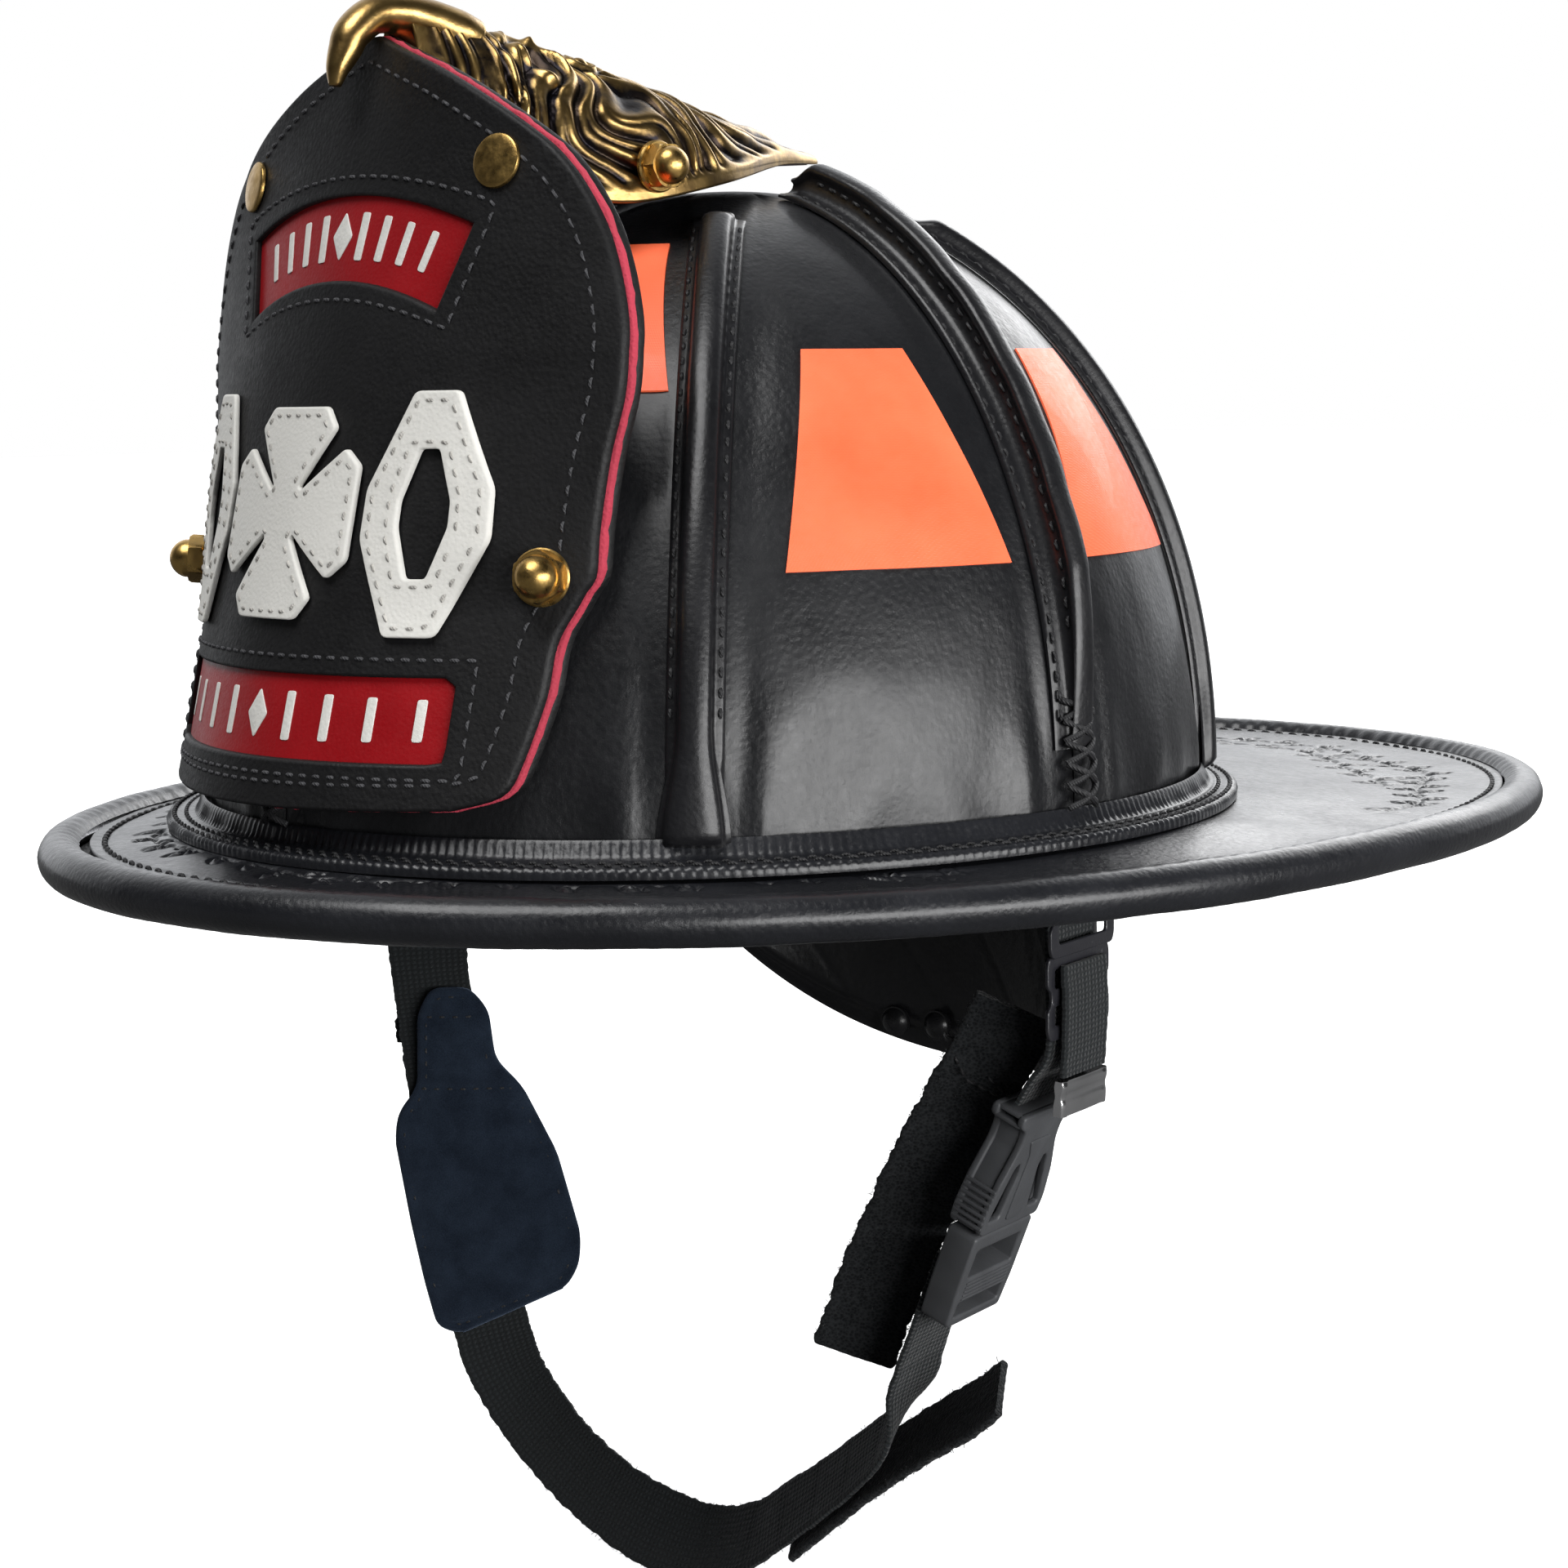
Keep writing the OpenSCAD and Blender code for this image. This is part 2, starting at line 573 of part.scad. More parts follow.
nape_turn = 63;
module nape_pad() {
    // Padded leather flap that hangs from the ratchet behind the head.
    steps = 16;
    rows = 6;
    r = tail_r - 14;
    function low(a) = -75 + 32 * pow(abs(a) / nape_turn, 2.4);
    function pt(i, j, off) = let (a = mix(nape_turn, -nape_turn, i / steps), f = j / rows,
        bulge = off * (1 - pow(2 * f - 1, 4) * 0.6) * (1 - pow(abs(a) / nape_turn, 6) * 0.6),
        z = mix(low(a), -16, f))
        [(r + 8 + bulge) * sin(a), tail_y + (r + 8 + bulge) * cos(a), z];
    color("#121214")
        sheet_solid([for (j = [0:rows]) [for (i = [0:steps]) pt(i, j, 4)]],
            [for (j = [0:rows]) [for (i = [0:steps]) pt(i, j, -4)]]);
}

module nape_studs() {
    color("#1a1a1c")
        for (s = [-1, 1], x = [14, 26])
            translate([s * x, tail_y + sqrt(pow(tail_r - 6, 2) - x * x) - 4.6, -66])
                rotate([90, 0, -asin(s * x / tail_r)]) {
                cylinder(h = 1.4, r = 4);
                translate([0, 0, 1.4]) scale(0.9) intersection() {
                    translate([0, 0, -3]) sphere(r = 5);
                    translate([0, 0, 2]) cube([12, 12, 4], center = true);
                }
            }
}

// ---------- The chin strap ----------

// The strap hangs in an upright plane through both pins: x across, y fore and aft, z up.
module strap_frame() translate([0, strap_y, 0]) rotate([0, 0, strap_yaw]) children();

module anchor_plates() {
    color("#6f7074")
        strap_frame() for (s = [-1, 1])
            difference() {
                translate([s * 98 - 1, -9, -3]) cube([2, 18, 15]);
                translate([s * 90, 0, hinge_z]) rotate([0, 90 * s, 0]) cylinder(h = 20, r = 2.5);
            }
}

module anchor_pins() {
    color("#8f8f94")
        strap_frame() for (s = [-1, 1])
            translate([s * 99, 0, hinge_z]) rotate([0, -90 * s, 0]) {
                cylinder(h = 6.4, r = 2.5);
                translate([0, 0, 6.4]) cylinder(h = 1.4, r = 5);
            }
}

facing = [0.814, 0.58, 0];
fore_aft = [0, 1, 0];
loop_route = [[-95, 0, 7.5], [-95, 0, 4], [-95, 0, -6], [-95.5, -1, -22], [-95.5, -3, -40], [-94, -2, -60],
    [-92, -0.7, -80], [-89.4, 1.4, -100], [-87.8, 2.9, -120], [-85.5, 5, -139], [-80.5, 5.5, -152.5],
    [-68, 4, -164.5], [-52.5, 2, -174], [-33, 0, -181], [-14, 0, -183.5], [2, 0, -178.5], [13, 0, -170.5],
    [24.5, 0, -161.5], [36.5, 0, -151], [45, 0, -142], [49.8, 0, -131.5], [53, 0, -122.3], [56.7, 0, -113],
    [64.1, 0, -94.4]];
loop_across = concat([fore_aft, fore_aft, fore_aft, [0.45, 0.89, 0]], [for (k = [1:6]) facing],
    [[0.75, 0.45, 0.5], [0.5, 0.35, 0.8], [0.4, 0.3, 0.87], [0.25, 0.4, 0.88], [0, 0.65, 0.75],
    [-0.25, 0.75, 0.6], [-0.35, 0.75, 0.55], [-0.35, 0.78, 0.5], [-0.35, 0.8, 0.45], [-0.3, 0.9, 0.3]],
    [for (k = [1:4]) fore_aft]);

module pin_hole(s) {
    translate([s * 90, 0, hinge_z]) rotate([0, 90 * s, 0]) cylinder(h = 20, r = 2.56);
}

module chin_webbing() {
    color("#1b1f20")
        strap_frame() difference() {
            ribbon(loop_route, loop_across, web_w, web_t);
            pin_hole(-1);
        }
}

// Suede pad: a bottle-shaped outline in the plane that faces sideways and forward.
pad_outline = [[-8, -50], [2, -50], [6.8, -56], [8.2, -69], [15, -76.5], [23.4, -94], [29, -116],
    [28.5, -124], [25, -130], [-3, -142], [-9, -140], [-12, -128], [-15.1, -112], [-18.5, -90], [-17.5, -83],
    [-12.2, -76], [-11.6, -57]];
module chin_pad() {
    color("#161b24")
        strap_frame() translate([-91, 0, 0]) rotate([0, 0, 35.5]) translate([3.3, -1.7, 0])
            rotate([90, 0, 0]) linear_extrude(pad_t) polygon(pad_outline);
}

module loop_tail() {
    route = [[16, 0, -174.5], [27.8, 0, -164], [39.8, 0, -153.6], [51, 0, -145], [61, 0, -137.8],
        [68.3, 0, -132.8], [74.6, 0, -127.2]];
    color("#16191a")
        strap_frame() ribbon(route, [for (p = route) [-0.35, 0.8, 0.45]], web_w - 2, 2.2);
}

module folded_end() {
    route = [[-101, 4, -22], [-101.5, 4, -42], [-102, 4, -67]];
    color("#16191a")
        strap_frame() ribbon(route, [for (p = route) facing], web_w - 2, 2.4);
}

module side_webbing() {
    route = [[95, 0, 7.5], [95, 0, 3], [93, 0, -7], [93, 0, -44], [88.8, 0, -51], [85, 0, -57]];
    color("#1b1f20")
        strap_frame() difference() {
            ribbon(route, [for (p = route) fore_aft], web_w, web_t);
            pin_hole(1);
        }
}

module tail_webbing() {
    route = [[96.6, 0, -25], [97, 0, -33], [96.8, 0, -42], [96.2, 0, -50]];
    color("#1b1f20")
        strap_frame() ribbon(route, [for (p = route) fore_aft], web_w - 1, web_t);
}

module strap_tip() {
    color("#c8c8cc")
        strap_frame() translate([95.9, 0, -50.4]) rotate([0, 4, 0])
            translate([-1.4, -10, -8.4]) cube([2.8, 20, 8]);
}

// Flat three-bar slide with two slots and notched sides.
module triglide(w, h, slot_w) {
    rotate([90, 0, 90]) linear_extrude(0.9) difference() {
        union() {
            for (s = [-1, 1])
                translate([0, s * h / 4]) square([w, h / 2 - 1.6], center = true);
            square([w - 3.2, h], center = true);
        }
        for (s = [-1, 1])
            translate([0, s * h / 4.6]) square([slot_w, h / 6], center = true);
    }
}

module triglide_upper() color("#1d1e22") strap_frame() translate([95.7, 0, -14]) triglide(28, 18, 21);
module triglide_lower() color("#1d1e22") strap_frame() translate([94.6, 0, -32]) triglide(27, 19, 21);

// The buckle's own frame: z runs up through its mouth, y across its width, x out from the cheek.
buckle_at = [72.5, 0, -87];
buckle_tilt = 21.8;
module buckle_frame() strap_frame() translate(buckle_at) rotate([0, buckle_tilt, 0]) children();

module buckle_plate(points, thick) {
    translate([-thick / 2, 0, 0]) rotate([90, 0, 90]) linear_extrude(thick) polygon(points);
}

module buckle_socket() {
    color("#3c3d40")
        buckle_frame() difference() {
            buckle_plate([[-12.5, 0.2], [12.5, 0.2], [13, 5], [11.5, 13], [8, 22], [8, 26.5],
                [11, 28], [11, 31], [-11, 31], [-11, 28], [-8, 26.5], [-8, 22], [-11.5, 13], [-13, 5]], 9);
            // Cavity for the plug's tongue and prongs
            translate([-2.6, -10, -1]) cube([5.2, 20, 18]);
            translate([-2.6, -7, 13]) cube([5.2, 14, 7]);
            // Tapered windows through which the prongs are pressed
            for (s = [-1, 1])
                buckle_plate([[s * 10.6, 4], [s * 6.4, 4], [s * 4.4, 15], [s * 5.4, 17], [s * 7.2, 16]], 12);
            // Recess for the side webbing's end
            translate([-1.6, -10.6, 26]) cube([3.2, 21.2, 8]);
        }
}

module buckle_plug() {
    color("#2a2b2e")
        buckle_frame() {
            difference() {
                buckle_plate([[-12.5, -0.6], [12.5, -0.6], [12.3, -16], [11.4, -25], [-11.4, -25],
                    [-12.3, -16]], 8);
                translate([-6, -10.6, -26]) cube([8, 21.2, 20]);
                translate([-6, -10.6, -12]) cube([12, 21.2, 7.5]);
                translate([-6, -10.6, -23]) cube([12, 21.2, 4.5]);
            }
            translate([-1.8, -2.4, -0.7]) cube([3.6, 4.8, 17]);
        }
}

module prong(s) {
    color("#2a2b2e")
        buckle_frame()
            buckle_plate([[s * 4.6, -0.3], [s * 8.4, -0.3], [s * 9.4, 5], [s * 9.4, 11], [s * 6.6, 16.5],
                [s * 4.6, 16.5], [s * 6, 8]], 4);
}
module prong_front() prong(-1);
module prong_rear() prong(1);

module hook_flap() {
    route = [[79.4, 0, -38], [73.4, 0, -48.5], [66.4, 0, -60], [58.9, 0, -73], [51.9, 0, -86], [43.9, 0, -102],
        [33.5, 0, -126.5]];
    color("#131517")
        strap_frame() ribbon(route, [for (p = route) [0.72, 0.5, -0.47]], web_w, 2.2);
}

crown_panels();
crown_welt();
fin_front();
fin_left();
fin_rear();
fin_right();
crown_bead(45);  // bead_front_left
crown_bead(135);  // bead_rear_left
crown_bead(225);  // bead_rear_right
crown_bead(315);  // bead_front_right
brim_upper();
brim_under();
rim_binding();
rim_wire();
reflective_patches();
shield_front();
shield_piping();
shield_backing();
shield_emblem();
title_panel_upper();
title_panel_lower();
shield_rivets();
shield_bolts();
shield_spacers();
shield_nuts();
eagle_holder();
eagle_bracket();
eagle_nuts();
impact_cap();
foam_liner();
crown_straps();
headband();
brow_pad();
band_hangers();
band_tail_left();
band_tail_right();
ratchet_housing();
ratchet_knob();
nape_pad();
nape_studs();
anchor_plates();
anchor_pins();
chin_webbing();
chin_pad();
loop_tail();
folded_end();
side_webbing();
tail_webbing();
strap_tip();
triglide_upper();
triglide_lower();
buckle_socket();
buckle_plug();
prong_front();
prong_rear();
hook_flap();
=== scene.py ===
"""Looks of a traditional leather fire helmet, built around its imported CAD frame."""
import json
import math

import bmesh
import bpy
import numpy as np
from mathutils import Matrix, Vector


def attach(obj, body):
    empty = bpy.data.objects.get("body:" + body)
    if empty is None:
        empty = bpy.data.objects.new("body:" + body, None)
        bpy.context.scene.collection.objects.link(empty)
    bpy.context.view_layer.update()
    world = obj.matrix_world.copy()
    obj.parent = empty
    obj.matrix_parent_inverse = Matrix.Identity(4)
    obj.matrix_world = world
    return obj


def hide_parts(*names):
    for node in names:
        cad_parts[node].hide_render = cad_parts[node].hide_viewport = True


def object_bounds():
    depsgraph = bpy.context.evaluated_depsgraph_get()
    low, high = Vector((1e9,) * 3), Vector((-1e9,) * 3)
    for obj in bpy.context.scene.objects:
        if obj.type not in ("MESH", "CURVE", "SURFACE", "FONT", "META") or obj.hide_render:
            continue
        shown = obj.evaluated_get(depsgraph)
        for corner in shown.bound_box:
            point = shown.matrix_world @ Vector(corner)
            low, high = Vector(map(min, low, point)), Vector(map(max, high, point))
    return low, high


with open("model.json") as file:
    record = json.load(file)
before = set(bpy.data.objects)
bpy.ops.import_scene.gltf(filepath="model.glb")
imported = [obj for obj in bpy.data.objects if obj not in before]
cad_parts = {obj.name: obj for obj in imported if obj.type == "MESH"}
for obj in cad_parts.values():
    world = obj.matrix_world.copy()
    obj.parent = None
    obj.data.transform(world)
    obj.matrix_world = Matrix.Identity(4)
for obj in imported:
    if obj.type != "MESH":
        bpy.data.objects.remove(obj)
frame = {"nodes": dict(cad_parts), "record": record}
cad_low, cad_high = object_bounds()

MM = 0.001
PI = math.pi


# ---------- Camera, lights and stage ----------

def make_camera():
    """Camera at the view of the reference: 47 degrees round from the front, a little above the brim."""
    cam = bpy.data.objects.new("camera", bpy.data.cameras.new("camera"))
    cam.data.sensor_width = 36
    cam.data.lens = 68.36
    azimuth, elevation, roll = (math.radians(a) for a in (47.17, 7.55, -0.99))
    back = Vector((math.sin(azimuth) * math.cos(elevation), -math.cos(azimuth) * math.cos(elevation),
                   math.sin(elevation)))
    right = Vector((math.cos(azimuth), math.sin(azimuth), 0))
    up = back.cross(right)
    side = right * math.cos(roll) + up * math.sin(roll)
    top = up * math.cos(roll) - right * math.sin(roll)
    target = right * 0.01386 + Vector((0, 0, 0.00792))
    matrix = Matrix((side, top, back)).transposed().to_4x4()
    matrix.translation = target + back * 0.70855
    cam.matrix_world = matrix
    bpy.context.scene.collection.objects.link(cam)
    bpy.context.scene.camera = cam


def area_light(name, place, aim, size, watts, tint=(1, 1, 1)):
    light = bpy.data.lights.new(name, "AREA")
    light.shape = "RECTANGLE"
    light.size, light.size_y = size
    light.energy = watts
    light.color = tint
    obj = bpy.data.objects.new(name, light)
    obj.location = place
    obj.rotation_euler = (Vector(aim) - Vector(place)).to_track_quat("-Z", "Y").to_euler()
    bpy.context.scene.collection.objects.link(obj)


def make_stage():
    """Pale floor: a flat plane just under the hanging strap."""
    floor_z = cad_low.z - 0.004
    mesh = bpy.data.meshes.new("floor")
    half = 14.0
    mesh.from_pydata([(-half, -half, floor_z), (half, -half, floor_z), (half, half, floor_z),
                      (-half, half, floor_z)], [], [(0, 1, 2, 3)])
    floor = bpy.data.objects.new("floor", mesh)
    bpy.context.scene.collection.objects.link(floor)
    paint = bpy.data.materials.new("floor_paint")
    paint.use_nodes = True
    shader = paint.node_tree.nodes["Principled BSDF"]
    shader.inputs["Base Color"].default_value = (0.86, 0.86, 0.86, 1)
    shader.inputs["Roughness"].default_value = 0.9
    shader.inputs["Specular IOR Level"].default_value = 0.1
    shaders = paint.node_tree
    seen = shaders.nodes.new("ShaderNodeLightPath")
    tone = shaders.nodes.new("ShaderNodeMix")
    tone.data_type = "RGBA"
    tone.inputs[6].default_value = (0.10, 0.10, 0.10, 1)
    tone.inputs[7].default_value = (0.9, 0.9, 0.9, 1)
    shaders.links.new(seen.outputs["Is Camera Ray"], tone.inputs[0])
    shaders.links.new(tone.outputs[2], shader.inputs["Base Color"])
    lift = shaders.nodes.new("ShaderNodeMix")
    lift.data_type = "RGBA"
    lift.inputs[6].default_value = (0, 0, 0, 1)
    lift.inputs[7].default_value = (0.62, 0.62, 0.62, 1)
    shaders.links.new(seen.outputs["Is Camera Ray"], lift.inputs[0])
    shaders.links.new(lift.outputs[2], shader.inputs["Emission Color"])
    shader.inputs["Emission Strength"].default_value = 1.0
    floor.data.materials.append(paint)
    world = bpy.data.worlds.new("studio")
    world.use_nodes = True
    tree = world.node_tree
    # Dim room with a bright sweep behind the helmet, which the camera sees as plain white
    room = tree.nodes["Background"]
    room.inputs[1].default_value = 1.0
    away = tree.nodes.new("ShaderNodeVectorMath")
    away.operation = "DOT_PRODUCT"
    away.inputs[1].default_value = (-0.725, 0.676, 0.13)
    rays = tree.nodes.new("ShaderNodeTexCoord")
    tree.links.new(rays.outputs["Generated"], away.inputs[0])
    glow = tree.nodes.new("ShaderNodeMapRange")
    glow.interpolation_type = "SMOOTHSTEP"
    for key, value in (("From Min", 0.25), ("From Max", 0.95), ("To Min", 0.04), ("To Max", 1.2)):
        glow.inputs[key].default_value = value
    tree.links.new(away.outputs["Value"], glow.inputs["Value"])
    tree.links.new(glow.outputs["Result"], room.inputs[1])
    room.inputs[0].default_value = (0.95, 0.97, 1.0, 1)
    backdrop = tree.nodes.new("ShaderNodeBackground")
    backdrop.inputs[0].default_value = (1.0, 1.0, 1.0, 1)
    seen = tree.nodes.new("ShaderNodeLightPath")
    choose = tree.nodes.new("ShaderNodeMixShader")
    tree.links.new(seen.outputs["Is Camera Ray"], choose.inputs[0])
    tree.links.new(room.outputs[0], choose.inputs[1])
    tree.links.new(backdrop.outputs[0], choose.inputs[2])
    tree.links.new(choose.outputs[0], tree.nodes["World Output"].inputs["Surface"])
    bpy.context.scene.world = world
    bpy.context.scene.view_settings.view_transform = "Standard"
    area_light("side", (1.45, -0.05, 0.10), (0, 0, 0.05), (1.5, 0.5), 25)
    area_light("rear", (-0.5, 1.7, 0.9), (0, 0, 0.06), (1.2, 0.8), 10)
    sun = bpy.data.lights.new("sun", "SUN")
    sun.energy = 2.6
    sun.angle = math.radians(38)
    lamp = bpy.data.objects.new("sun", sun)
    lamp.rotation_euler = Vector((0.1, -0.62, 1.3)).to_track_quat("Z", "Y").to_euler()
    bpy.context.scene.collection.objects.link(lamp)


make_camera()
make_stage()


# ---------- Materials ----------

class Paint:
    """A Principled material with short calls for its procedural parts."""

    def __init__(self, name, colour, rough, metal=0.0, **sockets):
        self.mat = bpy.data.materials.new(name)
        self.mat.use_nodes = True
        self.tree = self.mat.node_tree
        self.shader = self.tree.nodes["Principled BSDF"]
        self.set("Base Color", (*colour, 1))
        self.set("Roughness", rough)
        self.set("Metallic", metal)
        for key, value in sockets.items():
            self.set(key.replace("_", " "), value)
        self.normal = None

    def set(self, socket, value):
        self.shader.inputs[socket].default_value = value

    def link(self, a, b):
        self.tree.links.new(a, b)

    def node(self, kind, **fields):
        made = self.tree.nodes.new(kind)
        for key, value in fields.items():
            if hasattr(made, key) and key not in made.inputs:
                setattr(made, key, value)
            else:
                made.inputs[key.replace("_", " ")].default_value = value
        return made

    def place(self, uv=False, stretch=(1, 1, 1)):
        """Coordinates in metres, in the row frame or along the piece's own UVs."""
        coords = self.node("ShaderNodeTexCoord").outputs["UV" if uv else "Object"]
        if stretch == (1, 1, 1):
            return coords
        scaled = self.node("ShaderNodeMapping")
        scaled.inputs["Scale"].default_value = stretch
        self.link(coords, scaled.inputs["Vector"])
        return scaled.outputs["Vector"]

    def noise(self, scale, detail=3.0, rough=0.55, at=None):
        made = self.node("ShaderNodeTexNoise", Scale=scale, Detail=detail, Roughness=rough)
        self.link(at or self.place(), made.inputs["Vector"])
        return made.outputs["Fac"]

    def cells(self, scale, feature="F1", at=None):
        made = self.node("ShaderNodeTexVoronoi", feature=feature, Scale=scale)
        self.link(at or self.place(), made.inputs["Vector"])
        return made.outputs["Distance"]

    def wave(self, scale, axis="X", at=None, distort=0.0):
        made = self.node("ShaderNodeTexWave", wave_type="BANDS", bands_direction=axis, Scale=scale,
                         Distortion=distort, Detail=2.0)
        self.link(at or self.place(), made.inputs["Vector"])
        return made.outputs["Fac"]

    def math(self, how, a, b):
        made = self.node("ShaderNodeMath", operation=how)
        for socket, value in zip(made.inputs, (a, b)):
            if isinstance(value, (int, float)):
                socket.default_value = value
            else:
                self.link(value, socket)
        return made.outputs[0]

    def span(self, value, low, high, to_low=0.0, to_high=1.0):
        made = self.node("ShaderNodeMapRange")
        for key, number in (("From Min", low), ("From Max", high), ("To Min", to_low), ("To Max", to_high)):
            made.inputs[key].default_value = number
        self.link(value, made.inputs["Value"])
        return made.outputs["Result"]

    def blend(self, factor, first, second):
        """Base colour from first to second as factor rises."""
        made = self.node("ShaderNodeMix", data_type="RGBA")
        self.link(factor, made.inputs["Factor"])
        for socket, colour in ((made.inputs["A"], first), (made.inputs["B"], second)):
            colours = [s for s in made.inputs if s.name == socket.name and s.type == "RGBA"][0]
            if isinstance(colour, tuple):
                colours.default_value = (*colour, 1)
            else:
                self.link(colour, colours)
        return [s for s in made.outputs if s.type == "RGBA"][0]

    def colour(self, output):
        self.link(output, self.shader.inputs["Base Color"])

    def rough(self, output):
        self.link(output, self.shader.inputs["Roughness"])

    def bump(self, height, depth, strength=1.0):
        """Adds relief of the given depth in metres on top of what is there."""
        made = self.node("ShaderNodeBump", Strength=strength, Distance=depth)
        self.link(height, made.inputs["Height"])
        if self.normal:
            self.link(self.normal, made.inputs["Normal"])
        self.normal = made.outputs["Normal"]
        self.link(self.normal, self.shader.inputs["Normal"])
        return self


def leather(name, colour, rough=0.42, grain=900, depth=0.00012, coat=0.15, lift=1.6, wrinkle=0.0):
    """Dyed leather: pebbled grain, fine pores, broad changes of sheen and slightly rubbed high spots."""
    p = Paint(name, colour, rough, Coat_Weight=coat, Coat_Roughness=0.22, Specular_IOR_Level=0.3)
    broad = p.noise(38, 4)
    p.colour(p.blend(p.span(broad, 0.35, 0.75), colour, tuple(c * lift for c in colour)))
    p.rough(p.math("ADD", p.span(broad, 0.3, 0.7, rough - 0.07, rough + 0.07),
                   p.span(p.noise(grain * 0.6, 2), 0.3, 0.7, -0.05, 0.05)))
    if wrinkle:
        p.bump(p.noise(120, 5, 0.6, p.place(stretch=(1, 1, 0.35))), wrinkle)
    p.bump(p.cells(grain, "SMOOTH_F1"), depth)
    p.bump(p.noise(grain * 3.2, 3, 0.7), depth * 0.5)
    return p.mat


def woven(name, colour, rib=260, depth=0.0003, fuzz=0.35, lift=2.2):
    """Narrow woven webbing: ribs across the band, lengthways yarns and a slight bloom of fibres."""
    p = Paint(name, colour, 0.82, Sheen_Weight=fuzz, Sheen_Roughness=0.5, Specular_IOR_Level=0.2)
    band = p.place(uv=True)
    ribs = p.wave(rib, "Y", band, 1.2)
    yarns = p.wave(rib * 0.8, "X", band, 0.8)
    weave = p.math("MULTIPLY", ribs, yarns)
    fibres = p.noise(2600, 3, 0.7)
    # Painted shade and highlight: colour follows the weave height, darker in the grooves and lighter on the raised
    # cords, plus random fibre tone
    tone = p.math("ADD", p.span(weave, 0, 0.8, 0, 0.5), p.span(fibres, 0.3, 0.7, 0, 0.5))
    p.colour(p.blend(tone, tuple(c * 0.6 for c in colour), tuple(c * lift for c in colour)))
    p.bump(weave, depth)
    p.bump(fibres, depth * 0.6)
    return p.mat


def brass(name, colour=(0.62, 0.40, 0.13), rough=0.3, wear=0.5):
    """Brass with a thin uneven tarnish and fine handling scratches."""
    p = Paint(name, colour, rough, 1.0)
    broad = p.noise(160, 5)
    p.colour(p.blend(p.span(broad, 0.4, 0.75, 0, wear), colour, (0.16, 0.085, 0.03)))
    p.rough(p.span(p.noise(420, 4), 0.3, 0.7, rough - 0.08, rough + 0.14))
    p.bump(p.noise(1500, 3), 0.00004)
    return p.mat


def patina_brass(name):
    """Cast brass rubbed bright on its ridges and blackened in its grooves."""
    p = Paint(name, (0.5, 0.33, 0.12), 0.32, 1.0)
    height = p.node("ShaderNodeAttribute", attribute_name="relief").outputs["Fac"]
    uneven = p.math("ADD", height, p.span(p.noise(300, 4), 0.3, 0.7, -0.10, 0.10))
    dark = p.blend(p.span(p.noise(90, 3), 0.35, 0.7), (0.010, 0.010, 0.014), (0.05, 0.034, 0.022))
    bright = p.blend(p.span(p.noise(210, 3), 0.35, 0.7), (0.50, 0.33, 0.12), (0.30, 0.185, 0.065))
    p.colour(p.blend(p.span(uneven, 0.46, 0.86), dark, bright))
    p.rough(p.span(uneven, 0.3, 0.9, 0.40, 0.30))
    p.bump(p.noise(900, 4), 0.00006)
    return p.mat


def moulded(name, colour, rough=0.5, speck=1400, depth=0.00004):
    """Moulded plastic with a fine spark texture and slightly uneven sheen."""
    p = Paint(name, colour, rough, Specular_IOR_Level=0.4)
    p.colour(p.blend(p.span(p.noise(60, 3), 0.35, 0.7), colour, tuple(c * 1.35 for c in colour)))
    p.rough(p.span(p.noise(300, 3), 0.3, 0.7, rough - 0.06, rough + 0.08))
    p.bump(p.noise(speck, 2), depth)
    return p.mat


def metal(name, colour, rough, streak=700):
    """Bare or plated steel with fine drawn streaks."""
    p = Paint(name, colour, rough, 1.0)
    lines = p.noise(streak, 3, 0.6, p.place(stretch=(1, 0.1, 1)))
    p.rough(p.span(lines, 0.3, 0.7, rough * 0.7, rough * 1.4))
    p.colour(p.blend(p.span(p.noise(90, 3), 0.4, 0.7), colour, tuple(c * 0.82 for c in colour)))
    p.bump(lines, 0.00002)
    return p.mat


def painted_steel(name):
    """Black paint rubbed through to bright metal in small spots."""
    p = Paint(name, (0.016, 0.016, 0.02), 0.36, Coat_Weight=0.3, Coat_Roughness=0.2)
    worn = p.span(p.noise(420, 5, 0.7), 0.66, 0.74)
    p.colour(p.blend(worn, (0.016, 0.016, 0.02), (0.3, 0.3, 0.32)))
    p.rough(p.span(p.noise(300, 3), 0.3, 0.7, 0.26, 0.46))
    p.bump(p.noise(1200, 2), 0.00004)
    return p.mat


def suede(name):
    """Napped suede: soft sheen, mottled nap and fibre ends."""
    p = Paint(name, (0.010, 0.015, 0.026), 0.95, Sheen_Weight=0.5, Sheen_Roughness=0.45,
              Specular_IOR_Level=0.12)
    p.set("Sheen Tint", (0.35, 0.45, 0.65, 1))
    nap = p.noise(120, 5, 0.6)
    fibres = p.noise(3000, 3, 0.7)
    p.colour(p.blend(p.span(p.math("ADD", nap, fibres), 0.75, 1.3), (0.006, 0.010, 0.018), (0.02, 0.03,
                                                                                            0.048)))
    p.bump(fibres, 0.0002)
    p.bump(nap, 0.0003)
    return p.mat


def hook_tape(name):
    """Hook-and-loop tape: matted loops whose hollows are darkened by painted shade."""
    p = Paint(name, (0.010, 0.011, 0.012), 0.95, Sheen_Weight=0.15, Sheen_Roughness=0.5,
              Specular_IOR_Level=0.12)
    loops = p.cells(1300)
    matted = p.noise(260, 5, 0.65)
    # Painted shade: colour follows the loop and mat height, darker in the hollows between loops, with random mat
    # tone
    p.colour(p.blend(p.span(p.math("ADD", loops, matted), 0.6, 1.3), (0.005, 0.006, 0.007), (0.026, 0.028,
                                                                                             0.03)))
    p.bump(loops, 0.0003)
    p.bump(matted, 0.0005)
    return p.mat


